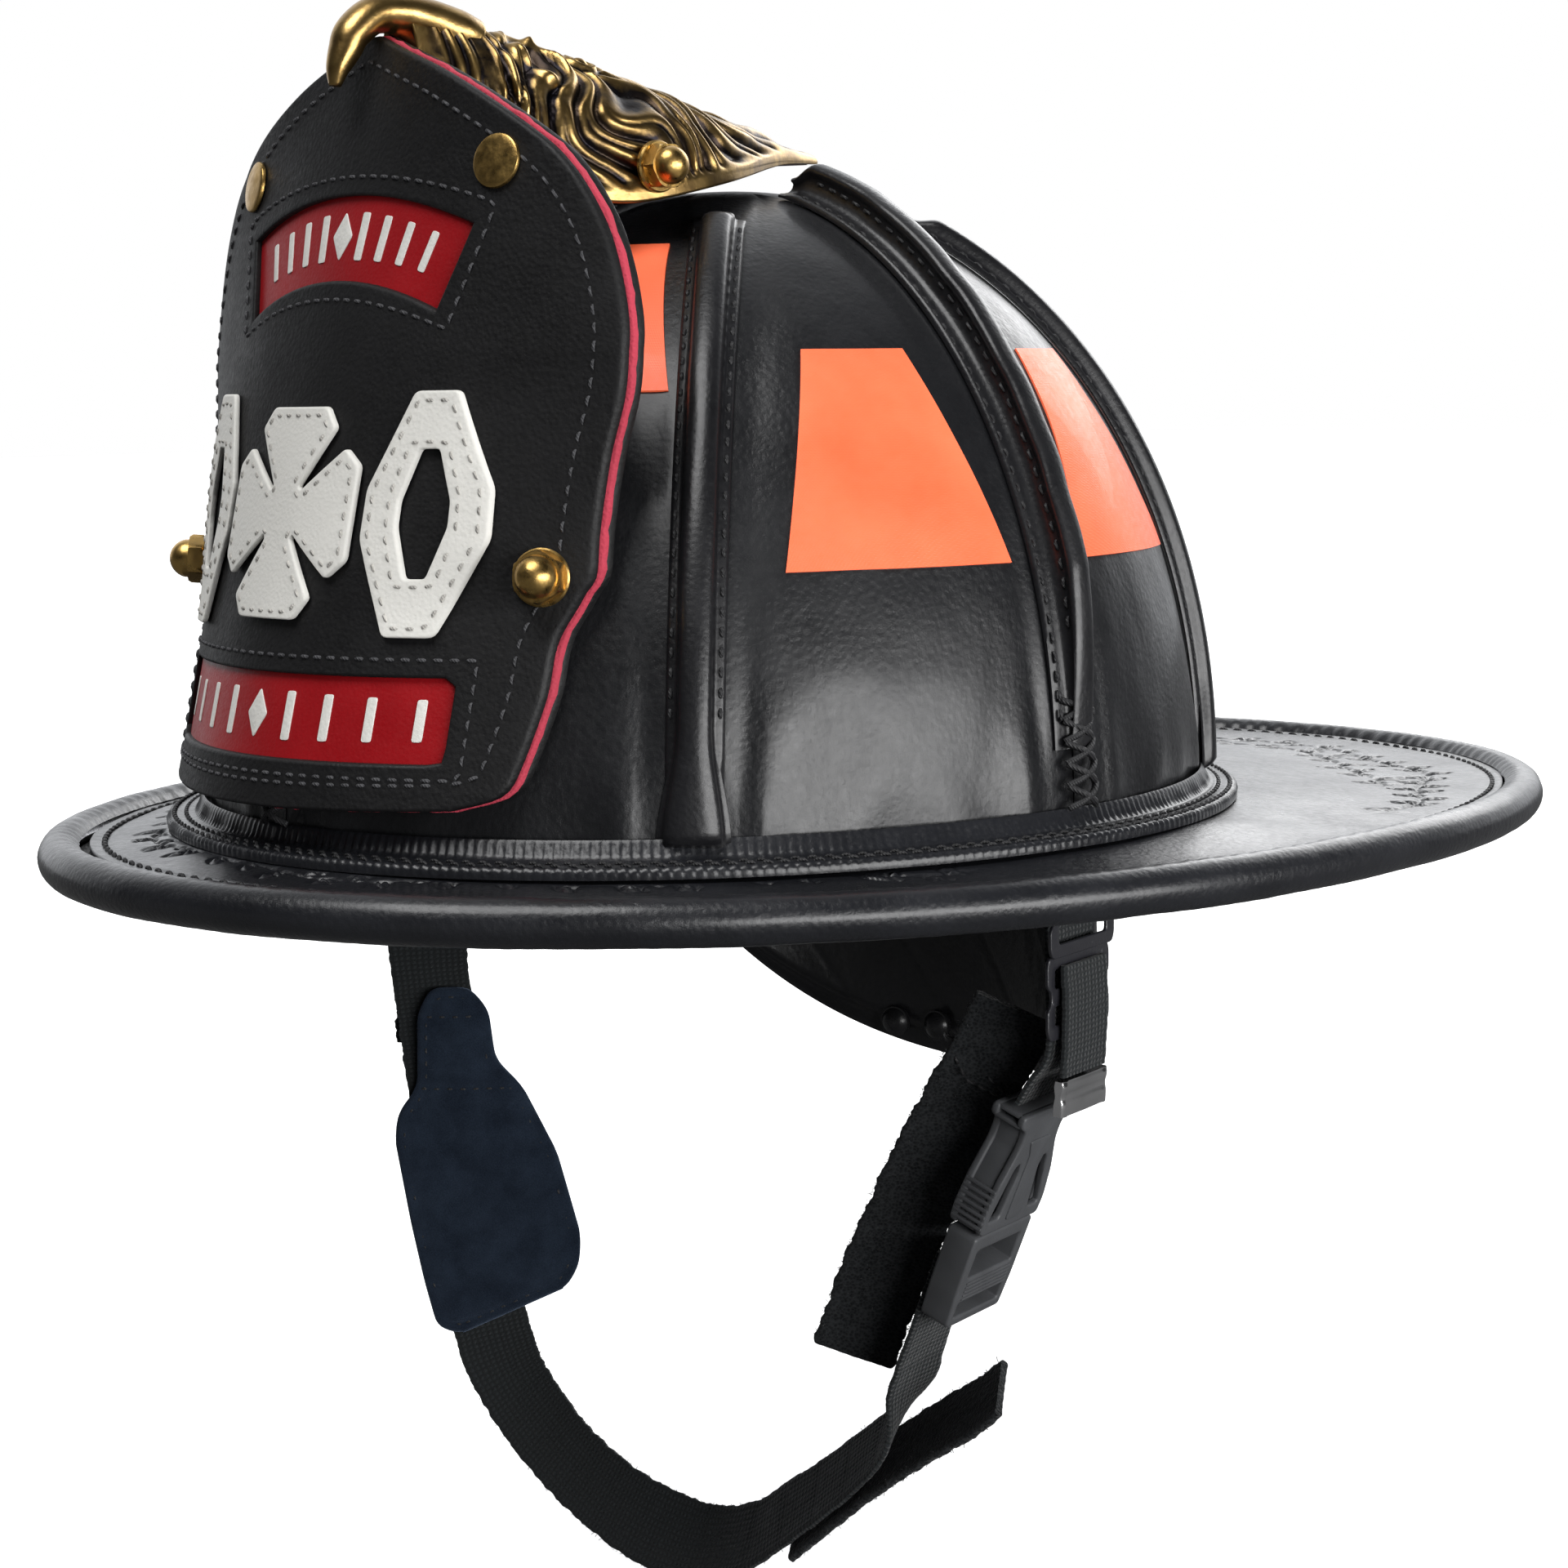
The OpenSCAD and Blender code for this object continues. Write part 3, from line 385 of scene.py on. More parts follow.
def film(name):
    """Fluorescent film with a faint woven backing and a soft satin face; a weak emission paints a glow on it."""
    p = Paint(name, (1.0, 0.155, 0.055), 0.42, Specular_IOR_Level=0.35, Coat_Weight=0.1)
    # Painted glow: a weak orange emission brightens the film whatever light reaches it
    p.set("Emission Color", (1.0, 0.13, 0.04, 1))
    p.set("Emission Strength", 0.16)
    mesh = p.math("MULTIPLY", p.wave(900, "Z", distort=0.4), p.wave(900, "X", distort=0.4))
    p.colour(p.blend(p.span(p.noise(30, 3), 0.3, 0.7), (0.95, 0.13, 0.05), (1.0, 0.20, 0.09)))
    p.rough(p.span(p.noise(600, 3), 0.3, 0.7, 0.34, 0.5))
    p.bump(mesh, 0.00003)
    return p.mat


def thread(name, colour):
    """Waxed thread with a tight twist."""
    p = Paint(name, colour, 0.55, Specular_IOR_Level=0.35)
    p.colour(p.blend(p.span(p.noise(500, 3), 0.3, 0.7), colour, tuple(min(1,
                                                                          c * 1.8 + 0.004) for c in colour)))
    p.bump(p.wave(700, "DIAGONAL"), 0.00008)
    return p.mat


PAINTS = {
    "crown_leather": leather("crown_hide", (0.0070, 0.0072, 0.0082), 0.40, 800, 0.00011, 0.30,
                             wrinkle=0.00035),
    "comb_leather": leather("comb_hide", (0.0065, 0.0065, 0.0075), 0.38, 1000, 0.00008, 0.3),
    "brim_leather": leather("brim_hide", (0.0085, 0.0090, 0.011), 0.36, 850, 0.00012, 0.35, wrinkle=0.0002),
    "shield_leather": leather("shield_hide", (0.0035, 0.0034, 0.0038), 0.56, 1100, 0.00010, 0.03),
    "piping_red": leather("piping_hide", (0.46, 0.045, 0.075), 0.75, 1500, 0.0002, 0.0, 1.3),
    "white_leather": leather("white_hide", (0.70, 0.69, 0.65), 0.55, 1300, 0.00008, 0.05, 1.12),
    "title_red": leather("title_hide", (0.26, 0.003, 0.006), 0.45, 1500, 0.00005, 0.1, 1.3),
    "nape_leather": leather("nape_hide", (0.006, 0.006, 0.007), 0.42, 700, 0.00015, 0.35, wrinkle=0.0004),
    "brow_leather": leather("brow_hide", (0.030, 0.022, 0.016), 0.6, 900, 0.00015, 0.05),
    "brass": brass("fitting_brass"),
    "antique_brass": patina_brass("cast_brass"),
    "zinc_steel": metal("zinc", (0.62, 0.62, 0.64), 0.32),
    "steel_wire": metal("wire", (0.6, 0.6, 0.62), 0.3),
    "chromed_steel": metal("chrome", (0.86, 0.86, 0.87), 0.09),
    "black_steel": painted_steel("black_paint"),
    "stud_black": moulded("stud_enamel", (0.012, 0.012, 0.013), 0.28),
    "reflective_orange": film("orange_film"),
    "webbing": woven("strap_weave", (0.010, 0.012, 0.013), fuzz=0.18),
    "hook_tape": hook_tape("loop_tape"),
    "suede": suede("navy_suede"),
    "buckle_plastic": moulded("acetal", (0.060, 0.062, 0.066), 0.46),
    "band_plastic": moulded("nylon", (0.022, 0.022, 0.024), 0.5),
    "impact_plastic": moulded("shell_plastic", (0.018, 0.018, 0.02), 0.55),
    "liner_foam": moulded("foam", (0.030, 0.030, 0.032), 0.95, 500, 0.0004),
    "spacer_rubber": moulded("rubber", (0.02, 0.02, 0.02), 0.8),
}
BLACK_THREAD = thread("black_thread", (0.012, 0.012, 0.013))
GREY_THREAD = thread("grey_thread", (0.035, 0.035, 0.038))
GREY_WHITE = thread("white_thread", (0.30, 0.29, 0.27))
WHITE_MARK = PAINTS["white_leather"]


# ---------- Meshes ----------

def new_object(name, verts, faces, uvs=None, crease=40):
    """Mesh object from points in millimetres; uvs has one pair per vertex, in metres."""
    mesh = bpy.data.meshes.new(name)
    mesh.from_pydata((np.asarray(verts, float) * MM).tolist(), [], faces)
    mesh.update()
    mesh.polygons.foreach_set("use_smooth", [True] * len(mesh.polygons))
    if crease:
        mesh.set_sharp_from_angle(angle=math.radians(crease))
    if uvs is not None:
        layer = mesh.uv_layers.new(name="UVMap")
        loops = np.zeros(len(mesh.loops), np.int32)
        mesh.loops.foreach_get("vertex_index", loops)
        layer.data.foreach_set("uv", np.asarray(uvs, float)[loops].ravel())
    obj = bpy.data.objects.new(name, mesh)
    bpy.context.scene.collection.objects.link(obj)
    return obj


def piece(obj, body, slot, *nodes, paint=None):
    """Paints a new piece, puts it on its body and hides the CAD nodes it stands for."""
    obj.data.materials.clear()
    obj.data.materials.append(paint or PAINTS[slot])
    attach(obj, body)
    if nodes:
        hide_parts(*nodes)
    return obj


def sheet_faces(rows, cols, wrap, start=0):
    """Faces of a closed sheet between an outer grid and an inner grid of rows by cols points."""
    def at(side, r, c):
        return start + (side * rows + r) * cols + c % cols
    spans = cols if wrap else cols - 1
    faces = []
    for r in range(rows - 1):
        for c in range(spans):
            faces.append((at(0, r, c), at(0, r, c + 1), at(0, r + 1, c + 1), at(0, r + 1, c)))
            faces.append((at(1, r, c), at(1, r + 1, c), at(1, r + 1, c + 1), at(1, r, c + 1)))
    top = rows - 1
    for c in range(spans):
        faces.append((at(0, 0, c + 1), at(0, 0, c), at(1, 0, c), at(1, 0, c + 1)))
        faces.append((at(0, top, c), at(0, top, c + 1), at(1, top, c + 1), at(1, top, c)))
    if not wrap:
        last = cols - 1
        for r in range(rows - 1):
            faces.append((at(0, r, 0), at(0, r + 1, 0), at(1, r + 1, 0), at(1, r, 0)))
            faces.append((at(0, r + 1, last), at(0, r, last), at(1, r, last), at(1, r + 1, last)))
    return faces


def sheet_object(name, sheets, wrap=False, crease=40):
    """One object from several (outer, inner) pairs of grids, each an array of rows, columns, xyz."""
    verts, faces = [], []
    for outer, inner in sheets:
        rows, cols = outer.shape[:2]
        faces += sheet_faces(rows, cols, wrap, sum(len(v) for v in verts))
        verts.append(np.concatenate([outer.reshape(-1, 3), inner.reshape(-1, 3)]))
    return new_object(name, np.concatenate(verts), faces, crease=crease)


def ring_object(name, rings, loop=False, uvs=None, crease=40):
    """Solid through rings of points, an array of rings, points, xyz; capped or joined round."""
    rings = np.asarray(rings, float)
    n, m = rings.shape[:2]
    faces = []
    for r in range(n if loop else n - 1):
        for i in range(m):
            a, b = r * m + i, r * m + (i + 1) % m
            c, d = ((r + 1) % n) * m + (i + 1) % m, ((r + 1) % n) * m + i
            faces.append((a, b, c, d))
    if not loop:
        faces.append(tuple(range(m - 1, -1, -1)))
        faces.append(tuple((n - 1) * m + i for i in range(m)))
    return new_object(name, rings.reshape(-1, 3), faces, uvs, crease)


def fix_normals(obj):
    """Turns every face outward."""
    shape = bmesh.new()
    shape.from_mesh(obj.data)
    bmesh.ops.recalc_face_normals(shape, faces=shape.faces)
    shape.to_mesh(obj.data)
    shape.free()
    return obj


def join(name, objects):
    """Several meshes as one object, keeping their materials."""
    bpy.ops.object.select_all(action="DESELECT")
    for o in objects:
        o.select_set(True)
    bpy.context.view_layer.objects.active = objects[0]
    bpy.ops.object.join()
    objects[0].name = name
    objects[0].data.name = name
    return objects[0]


def unit(v):
    v = np.asarray(v, float)
    return v / np.maximum(np.linalg.norm(v, axis=-1, keepdims=True), 1e-12)


def mix(a, b, t):
    return a + (b - a) * t


def smooth(t):
    t = np.clip(t, 0, 1)
    return t * t * (3 - 2 * t)


def bell(d, width):
    return np.exp(-(d / width) ** 2)


def value_noise(points, size, seed=0):
    """Smooth noise from -1 to 1 with cells of the given size in millimetres."""
    q = np.asarray(points, float) / size
    base = np.floor(q).astype(np.int64)
    f = q - base
    f = f * f * (3 - 2 * f)
    total = np.zeros(q.shape[:-1])
    for corner in range(8):
        step = np.array([corner & 1, corner >> 1 & 1, corner >> 2 & 1])
        cell = base + step
        h = (cell[..., 0] * 73856093) ^ (cell[..., 1] * 19349663) ^ (cell[...,
                                                                          2] * 83492791) ^ (seed * 2654435761)
        h = (h ^ (h >> 13)) * 1274126177 & 0x7FFFFFFF
        weight = np.prod(np.where(step == 1, f, 1 - f), axis=-1)
        total += weight * ((h % 65536) / 32768.0 - 1)
    return total


def rough_noise(points, size, octaves=3, seed=0):
    return sum(value_noise(points, size / 2 ** k, seed + k) / 2 ** k for k in range(octaves))


def resample(points, step, closed=False):
    """Points an even step apart along a smooth curve through the given ones."""
    pts = np.asarray(points, float)
    pts = np.concatenate([pts, pts[:1]]) if closed else pts
    n = len(pts)
    fine = []
    for i in range(n - 1):
        p0 = pts[(i - 1) % (n - 1)] if closed else pts[max(i - 1, 0)]
        p3 = pts[(i + 2) % (n - 1)] if closed else pts[min(i + 2, n - 1)]
        t = np.linspace(0, 1, 16, endpoint=False)[:, None]
        p1, p2 = pts[i], pts[i + 1]
        fine.append(0.5 * (2 * p1 + (p2 - p0) * t + (2 * p0 - 5 * p1 + 4 * p2 - p3) * t ** 2
                           + (3 * p1 - p0 - 3 * p2 + p3) * t ** 3))
    fine = np.concatenate(fine + [pts[-1:]])
    return even_steps(fine, step)


def even_steps(fine, step):
    run = np.concatenate([[0], np.cumsum(np.linalg.norm(np.diff(fine, axis=0), axis=1))])
    count = max(2, int(round(run[-1] / step)) + 1)
    at = np.linspace(0, run[-1], count)
    return np.stack([np.interp(at, run, fine[:, k]) for k in range(fine.shape[1])], 1)


STITCH_RING = 6


def stitch_mesh(points, normals, stitch=3.0, gap=1.3, radius=0.34, lift=0.12, slant=0.0):
    """Vertices and faces of a row of stitches laid along points, each dipping at its ends."""
    points, normals = np.asarray(points, float), unit(normals)
    run = np.concatenate([[0], np.cumsum(np.linalg.norm(np.diff(points, axis=0), axis=1))])
    verts, faces = [], []
    count = int(run[-1] // (stitch + gap))
    profile = [(0.0, 0.25, -0.45), (0.08, 0.75, -0.15), (0.3, 1.0, 0.12), (0.7, 1.0, 0.12), (0.92, 0.75,
                                                                                             -0.15),
               (1.0, 0.25, -0.45)]
    for k in range(count):
        s0 = k * (stitch + gap) + gap / 2

        def at(s):
            return (np.array([np.interp(s, run, points[:, a]) for a in range(3)]),
                    unit(np.array([np.interp(s, run, normals[:, a]) for a in range(3)])))
        start, end = at(s0)[0], at(s0 + stitch)[0]
        along = unit(end - start)
        normal = at(s0 + stitch / 2)[1]
        side = unit(np.cross(along, normal))
        tilt = side * slant
        first = len(verts)
        for f, size, height in profile:
            centre = mix(start, end, f) + normal * (height + lift) + tilt * (f - 0.5)
            for i in range(STITCH_RING):
                a = 2 * PI * i / STITCH_RING
                verts.append(centre + radius * size * (side * math.cos(a) * 1.25 + normal * math.sin(a)))
        rings = len(profile)
        for r in range(rings - 1):
            for i in range(STITCH_RING):
                j = (i + 1) % STITCH_RING
                a, b = first + r * STITCH_RING + i, first + r * STITCH_RING + j
                faces.append((a, b, b + STITCH_RING, a + STITCH_RING))
        faces.append(tuple(first + i for i in range(STITCH_RING - 1, -1, -1)))
        faces.append(tuple(first + (rings - 1) * STITCH_RING + i for i in range(STITCH_RING)))
    return verts, faces


def stitch_object(name, rows, **style):
    """All the stitches of several rows, each (points, normals), as one mesh."""
    verts, faces = [], []
    for points, normals in rows:
        v, f = stitch_mesh(points, normals, **style)
        faces += [tuple(i + len(verts) for i in face) for face in f]
        verts += v
    return fix_normals(new_object(name, verts, faces, crease=0))


def plate_mesh(name, loops, thickness, bevel, step=5.0):
    """Flat plate in XY from an outline and holes, with rounded edges, cut into small squares."""
    curve = bpy.data.curves.new(name, "CURVE")
    curve.dimensions = "2D"
    curve.fill_mode = "BOTH"
    curve.extrude = max(thickness / 2 - bevel, 0.001) * MM
    curve.bevel_depth = bevel * MM
    curve.bevel_resolution = 2
    curve.offset = -bevel * MM
    for loop in loops:
        spline = curve.splines.new("POLY")
        spline.points.add(len(loop) - 1)
        for point, (x, y) in zip(spline.points, loop):
            point.co = (x * MM, y * MM, 0, 1)
        spline.use_cyclic_u = True
    temp = bpy.data.objects.new(name, curve)
    bpy.context.scene.collection.objects.link(temp)
    mesh = bpy.data.meshes.new_from_object(temp.evaluated_get(bpy.context.evaluated_depsgraph_get()))
    bpy.data.objects.remove(temp)
    shape = bmesh.new()
    shape.from_mesh(mesh)
    bmesh.ops.remove_doubles(shape, verts=shape.verts, dist=0.00001)
    low = np.array([v.co for v in shape.verts]).min(0)
    high = np.array([v.co for v in shape.verts]).max(0)
    for axis in range(2):
        normal = [0, 0, 0]
        normal[axis] = 1
        for k in range(1, int((high[axis] - low[axis]) / (step * MM)) + 1):
            place = [0, 0, 0]
            place[axis] = low[axis] + k * step * MM
            geom = list(shape.verts) + list(shape.edges) + list(shape.faces)
            bmesh.ops.bisect_plane(shape, geom=geom, plane_co=place, plane_no=normal, dist=1e-7)
    bmesh.ops.recalc_face_normals(shape, faces=shape.faces)
    shape.to_mesh(mesh)
    shape.free()
    return mesh


def plate_object(name, loops, thickness, bevel, warp, step=5.0, crease=35):
    """Plate whose points (x, y, height) in millimetres are carried into place by warp."""
    mesh = plate_mesh(name, loops, thickness, bevel, step)
    co = np.zeros(len(mesh.vertices) * 3)
    mesh.vertices.foreach_get("co", co)
    moved = warp(co.reshape(-1, 3) / MM) * MM
    mesh.vertices.foreach_set("co", moved.ravel())
    mesh.update()
    mesh.polygons.foreach_set("use_smooth", [True] * len(mesh.polygons))
    mesh.set_sharp_from_angle(angle=math.radians(crease))
    obj = bpy.data.objects.new(name, mesh)
    bpy.context.scene.collection.objects.link(obj)
    return fix_normals(obj)


# ---------- Crown ----------

HALF_LEN, HALF_REAR, HALF_WID, CROWN_H, CROWN_Z = 124.0, 111.0, 110.0, 146.7, 6.0


def crown(az, u, off=0.0, across=0.0):
    """Points on the crown: azimuth from the front, elevation angle, millimetres outside and sideways."""
    az, u, off, across = np.broadcast_arrays(*(np.asarray(v, float) for v in (az, u, off, across)))
    s, c = np.sin(np.radians(az)), np.cos(np.radians(az))
    base = 1 / np.sqrt((s / HALF_WID) ** 2 + (c / np.where(c > 0, HALF_LEN, HALF_REAR)) ** 2)
    cu, su = np.cos(np.radians(u)), np.sin(np.radians(u))
    rise = (CROWN_H - CROWN_Z) * su ** 0.95
    n = unit(np.stack([(CROWN_H - CROWN_Z) * cu, base * su], -1))
    r = base * cu + off * n[..., 0]
    return np.stack([r * s + across * c, -r * c + across * s + 5 * rise / (CROWN_H - CROWN_Z),
                     CROWN_Z + rise + off * n[..., 1]], -1)


def crown_normal(az, u):
    return unit(crown(az, u, 1.0) - crown(az, u, 0.0))


def make_crown_panels():
    """Eight wet-formed leather segments with soft hollows, puckers by the seams and folds at the foot."""
    sheets = []
    for k in range(8):
        az = np.linspace(45 * k + 0.12, 45 * k + 44.88, 56)[None, :]
        u = np.concatenate([np.linspace(1, 30, 64), np.linspace(30, 87, 66)[1:]])[:, None]
        flat = crown(az, u)
        edge = np.minimum(az - 45 * k, 45 * (k + 1) - az) + 0 * u
        gap = np.radians(edge) * 116 * np.cos(np.radians(u))
        inside = smooth((gap - 6.5) / 14)
        off = inside * (0.55 * rough_noise(flat, 46, 3, 3 + k) - 0.15)
        off += inside * 0.16 * rough_noise(flat * [1, 1, 0.5], 9, 2, 60 + k)
        off -= 0.35 * smooth((gap - 5.5) / 3) * bell(gap - 10, 4)
        # Leather gathers into knuckles where each comb meets the brim
        for side, start in ((1, 45 * k), (-1, 45 * (k + 1))):
            along = np.radians((az - start) * side) * 116
            tall = 1 if (start // 45) % 2 else 0.75
            off += tall * 1.5 * bell(along - 13, 5.5) * bell(u - 3.0, 5.5)
            off -= tall * 0.35 * bell(along - 23, 6) * bell(u - 5.5, 7)
            off += tall * 0.55 * bell(along - 33 - 0.8 * u, 6) * bell(u - 4, 5)
            off -= 0.5 * bell(along - 10.5, 2.0) * bell(u - 9, 10)
        sheets.append((crown(az, u, off), crown(az, u, -3.4)))
    piece(sheet_object("crown_leather_panels", sheets, crease=50), "shell", "crown_leather", "crown_panels")


def comb_rings(az, section, u0, u1, fade_from, step_count, wobble=0.0, flare=0.0):
    """Rings of a comb: the section is lower at the foot and its web waves a little."""
    u = np.linspace(u0, u1, step_count)
    tall = np.clip(0.3 + 0.7 * (u - u0) / (fade_from - u0), 0, 1)
    end = 1 - 0.75 * smooth((u - (u1 - 3)) / 3)
    section = np.asarray(section, float)
    rings = []
    for angle, s, e in zip(u, tall, end):
        sway = wobble * value_noise(np.array([angle * 1.7, az, 1.0]), 6.0, 5)
        lift = section[:, 1] * s * (0.35 + 0.65 * e)
        wide = 1 + flare * (1 - smooth((angle - u0) / 9)) * (section[:, 1] > 1.2)
        sideways = section[:, 0] * wide + sway * (section[:, 1] / max(section[:, 1].max(), 1)) ** 1.5
        rings.append(crown(az, angle, 0.4 + lift, sideways))
    return np.array(rings)


def mirrored(half):
    half = np.asarray(half, float)
    return np.concatenate([half * [-1, 1], half[::-1]])


def make_combs():
    """Four tall sewn combs and four round corded beads, with their stitch rows."""
    rows = []
    for az, name, h in ((0, "fin_front", 4.2), (90, "fin_left", 9), (180, "fin_rear", 9), (270, "fin_right",
                                                                                           9)):
        half = [(6, 0), (6, 1.0), (5.4, 1.55), (4.2, 1.7), (3.1, 2.1), (2.45, 2.9), (2.1, h * 0.45), (2.0,
            h * 0.62),
                (2.25, h * 0.70), (2.75, h * 0.76), (3.0, h * 0.84), (2.75, h * 0.92), (2.0, h * 0.975),
                (0.7, h)]
        rings = comb_rings(az, mirrored(half), 7, 78, 20 if h < 5 else 22, 150, 0.5)
        piece(fix_normals(ring_object("comb_" + name, rings, crease=55)), "shell", "comb_leather", name)
        u = np.linspace(9, 76, 160)
        for side in (-1, 1):
            rows.append((crown(az, u, 1.9, side * 5.0), crown_normal(az, u)))
            if h > 5:
                tall = np.clip(0.3 + 0.7 * (u - 7) / 15, 0, 1)
                face = crown(az, u, 0.4 + h * 0.56 * tall, side * 2.15)
                rows.append((face[18:], unit(crown(az, u, 0, side) - crown(az, u, 0))[18:]))
    for az, name in ((45, "bead_front_left"), (135, "bead_rear_left"), (225, "bead_rear_right"),
                     (315, "bead_front_right")):
        half = [(6, 0), (5.8, 0.7), (5.2, 1.15), (4.3, 1.25), (3.75, 1.5), (3.55, 2.2), (3.5, 3.0), (3.25,
                                                                                                     3.9),
                (2.6, 4.6), (1.6, 5.05), (0.5, 5.2)]
        rings = comb_rings(az, mirrored(half), 1.6, 68, 2.2, 150, 0.15, 0.75)
        piece(fix_normals(ring_object("comb_" + name, rings, crease=55)), "shell", "comb_leather", name)
        u = np.linspace(11, 67, 150)
        for side in (-1, 1):
            rows.append((crown(az, u, 1.5, side * 5.0), crown_normal(az, u)))
    piece(stitch_object("comb_stitches", rows, stitch=2.6, gap=1.5, radius=0.36, lift=0.05), "shell",
          "comb_leather", paint=BLACK_THREAD)


def make_lacing():
    """Crossed waxed thread that ties the foot of each tall comb down to the welt."""
    for az, name in ((0, "front"), (90, "left"), (180, "rear"), (270, "right")):
        strands = []
        for k in range(5):
            u = 2.4 + 1.75 * k
            for side in (-1, 1):
                lift = 3.6 - 0.25 * k
                line = [crown(az, u, lift - 1.1, side * 4.2), crown(az, u + 0.5, lift + 0.6, side * 1.6),
                        crown(az, u + 1.1, lift + 0.6, -side * 1.6), crown(az, u + 1.7, lift - 1.1,
                                                                           -side * 4.2)]
                strands.append(tube(resample(line, 0.5), 0.75, 7))
        merged = merge_tubes("comb_lacing_" + name, strands)
        piece(merged, "shell", "comb_leather", paint=BLACK_THREAD)


def tube(path, radius, sides, first=None):
    """Rings of a round cord along a path."""
    path = np.asarray(path, float)
    along = unit(np.gradient(path, axis=0))
    up = first if first is not None else np.array([0.13, 0.21, 0.97])
    rings = []
    for p, d in zip(path, along):
        a = unit(np.cross(up, d))
        up = np.cross(d, a)
        ang = np.linspace(0, 2 * PI, sides, endpoint=False)[:, None]
        rings.append(p + radius * (a * np.cos(ang) + up * np.sin(ang)))
    return np.array(rings)


def merge_tubes(name, all_rings, crease=0):
    """Several capped cords as one mesh."""
    verts, faces = [], []
    for rings in all_rings:
        first = sum(len(v) for v in verts)
        n, m = rings.shape[:2]
        for r in range(n - 1):
            for i in range(m):
                j = (i + 1) % m
                faces.append((first + r * m + i, first + r * m + j, first + (r + 1) * m + j,
                              first + (r + 1) * m + i))
        faces.append(tuple(first + i for i in range(m - 1, -1, -1)))
        faces.append(tuple(first + (n - 1) * m + i for i in range(m)))
        verts.append(rings.reshape(-1, 3))
    return fix_normals(new_object(name, np.concatenate(verts), faces, crease=crease))


def make_patches():
    """Fluorescent patches stuck on six side panels and beside the shield."""
    sheets = []
    places = [(1, 1, 23.3, 46), (2, -1, 23.3, 46), (5, 1, 23.3, 46), (6, -1, 23.3, 46), (3, -1, 23.3, 46),
              (4, 1, 23.3, 46), (0, 1, 41.5, 63.5), (7, -1, 41.5, 63.5)]
    for k, way, low, high in places:
        f = np.linspace(0, 1, 24)[:, None]
        g = np.linspace(0, 1, 24)[None, :]
        left, right = (mix(9.5, 14, f), mix(39, 31.5, f)) if low < 40 else (mix(11, 15, f), mix(40, 34, f))
        a = mix(left, right, g)
        a = 45 * k + (a if way > 0 else 45 - (right + left - a))
        u = mix(low, high, f) + 0 * g
        flat = crown(a, u)
        lift = 0.55 * rough_noise(flat, 46, 3, 3 + k) - 0.15
        sheets.append((crown(a, u, np.maximum(lift, -0.3) + 0.42), crown(a, u, lift - 0.25)))
    piece(sheet_object("reflective_film", sheets), "shell", "reflective_orange", "reflective_patches")


# ---------- Brim ----------

def rim(t):
    """Centre line of the rolled edge at angle t from the front."""
    c = np.cos(t)
    return np.stack([147.2 * np.sin(t), 37 - 197.5 * c, np.where(c > 0, 2.4 * c * c, -3.4 * c * c)], -1)


def collar(t, off, z):
    half = np.where(np.cos(t) > 0, HALF_LEN, HALF_REAR)
    return np.stack([(HALF_WID + off) * np.sin(t), -(half + off) * np.cos(t), z + 0 * t], -1)


def brim_grid(t, f, foot_off, rim_in=6.5):
    """Middle surface of the brim: f runs from the rim to the crown's foot."""
    a, b = rim(t), collar(t, foot_off, CROWN_Z)
    gap = b - a
    gap[..., 2] = 0
    out = a + unit(gap) * rim_in
    p = mix(out, b, f[..., None])
    p[..., 2] = mix(a[..., 2] + 1.2, CROWN_Z - 1.5, f * f * (3 - 2 * f))
    return p


def leaf_relief(x, y):
    """Tooled scrollwork: stems that wave round the brim with paired pointed leaves, pressed into the hide.

    x is the distance along the middle of the band and y across it, in millimetres."""
    height = np.zeros(np.broadcast(x, y).shape)
    stem = 3.2 * np.sin(x / 10.5)
    height -= 0.7 * bell(y - stem, 0.8)
    pitch = 6.6
    cell = np.round(x / pitch)
    for step in (-2, -1, 0, 1, 2):
        n = cell + step
        root = n * pitch
        sign = np.where(n % 2 == 0, 1, -1)
        base_y = 3.2 * np.sin(root / 10.5)
        twist = 0.55 + 0.25 * np.sin(n * 2.4)
        for size, angle in ((9.5, 0.95), (6.0, 0.35)):
            ang = sign * (angle + 0.3 * np.sin(n * 1.7)) * 1.0
            dx, dy = x - root, y - base_y
            s = (dx * np.cos(ang) + dy * np.sin(ang)) / size
            w = (-dx * np.sin(ang) + dy * np.cos(ang)) - sign * twist * 2.2 * s * s
            half = 2.15 * np.clip(np.sin(PI * np.clip(s, 0, 1)), 0, 1) * (1 - 0.3 * np.clip(s, 0, 1))
            edge = np.abs(w) - half
            inside = (s > 0) & (s < 1)
            height -= np.where(inside, 0.85 * bell(edge, 0.55), 0)
            height -= np.where(inside & (edge < 0), 0.5 * bell(w, 0.35), 0)
            height += np.where(inside & (edge < 0), 0.45 * np.clip(-edge / 1.2, 0, 1), 0)
    return np.clip(height, -1.4, 0.6)


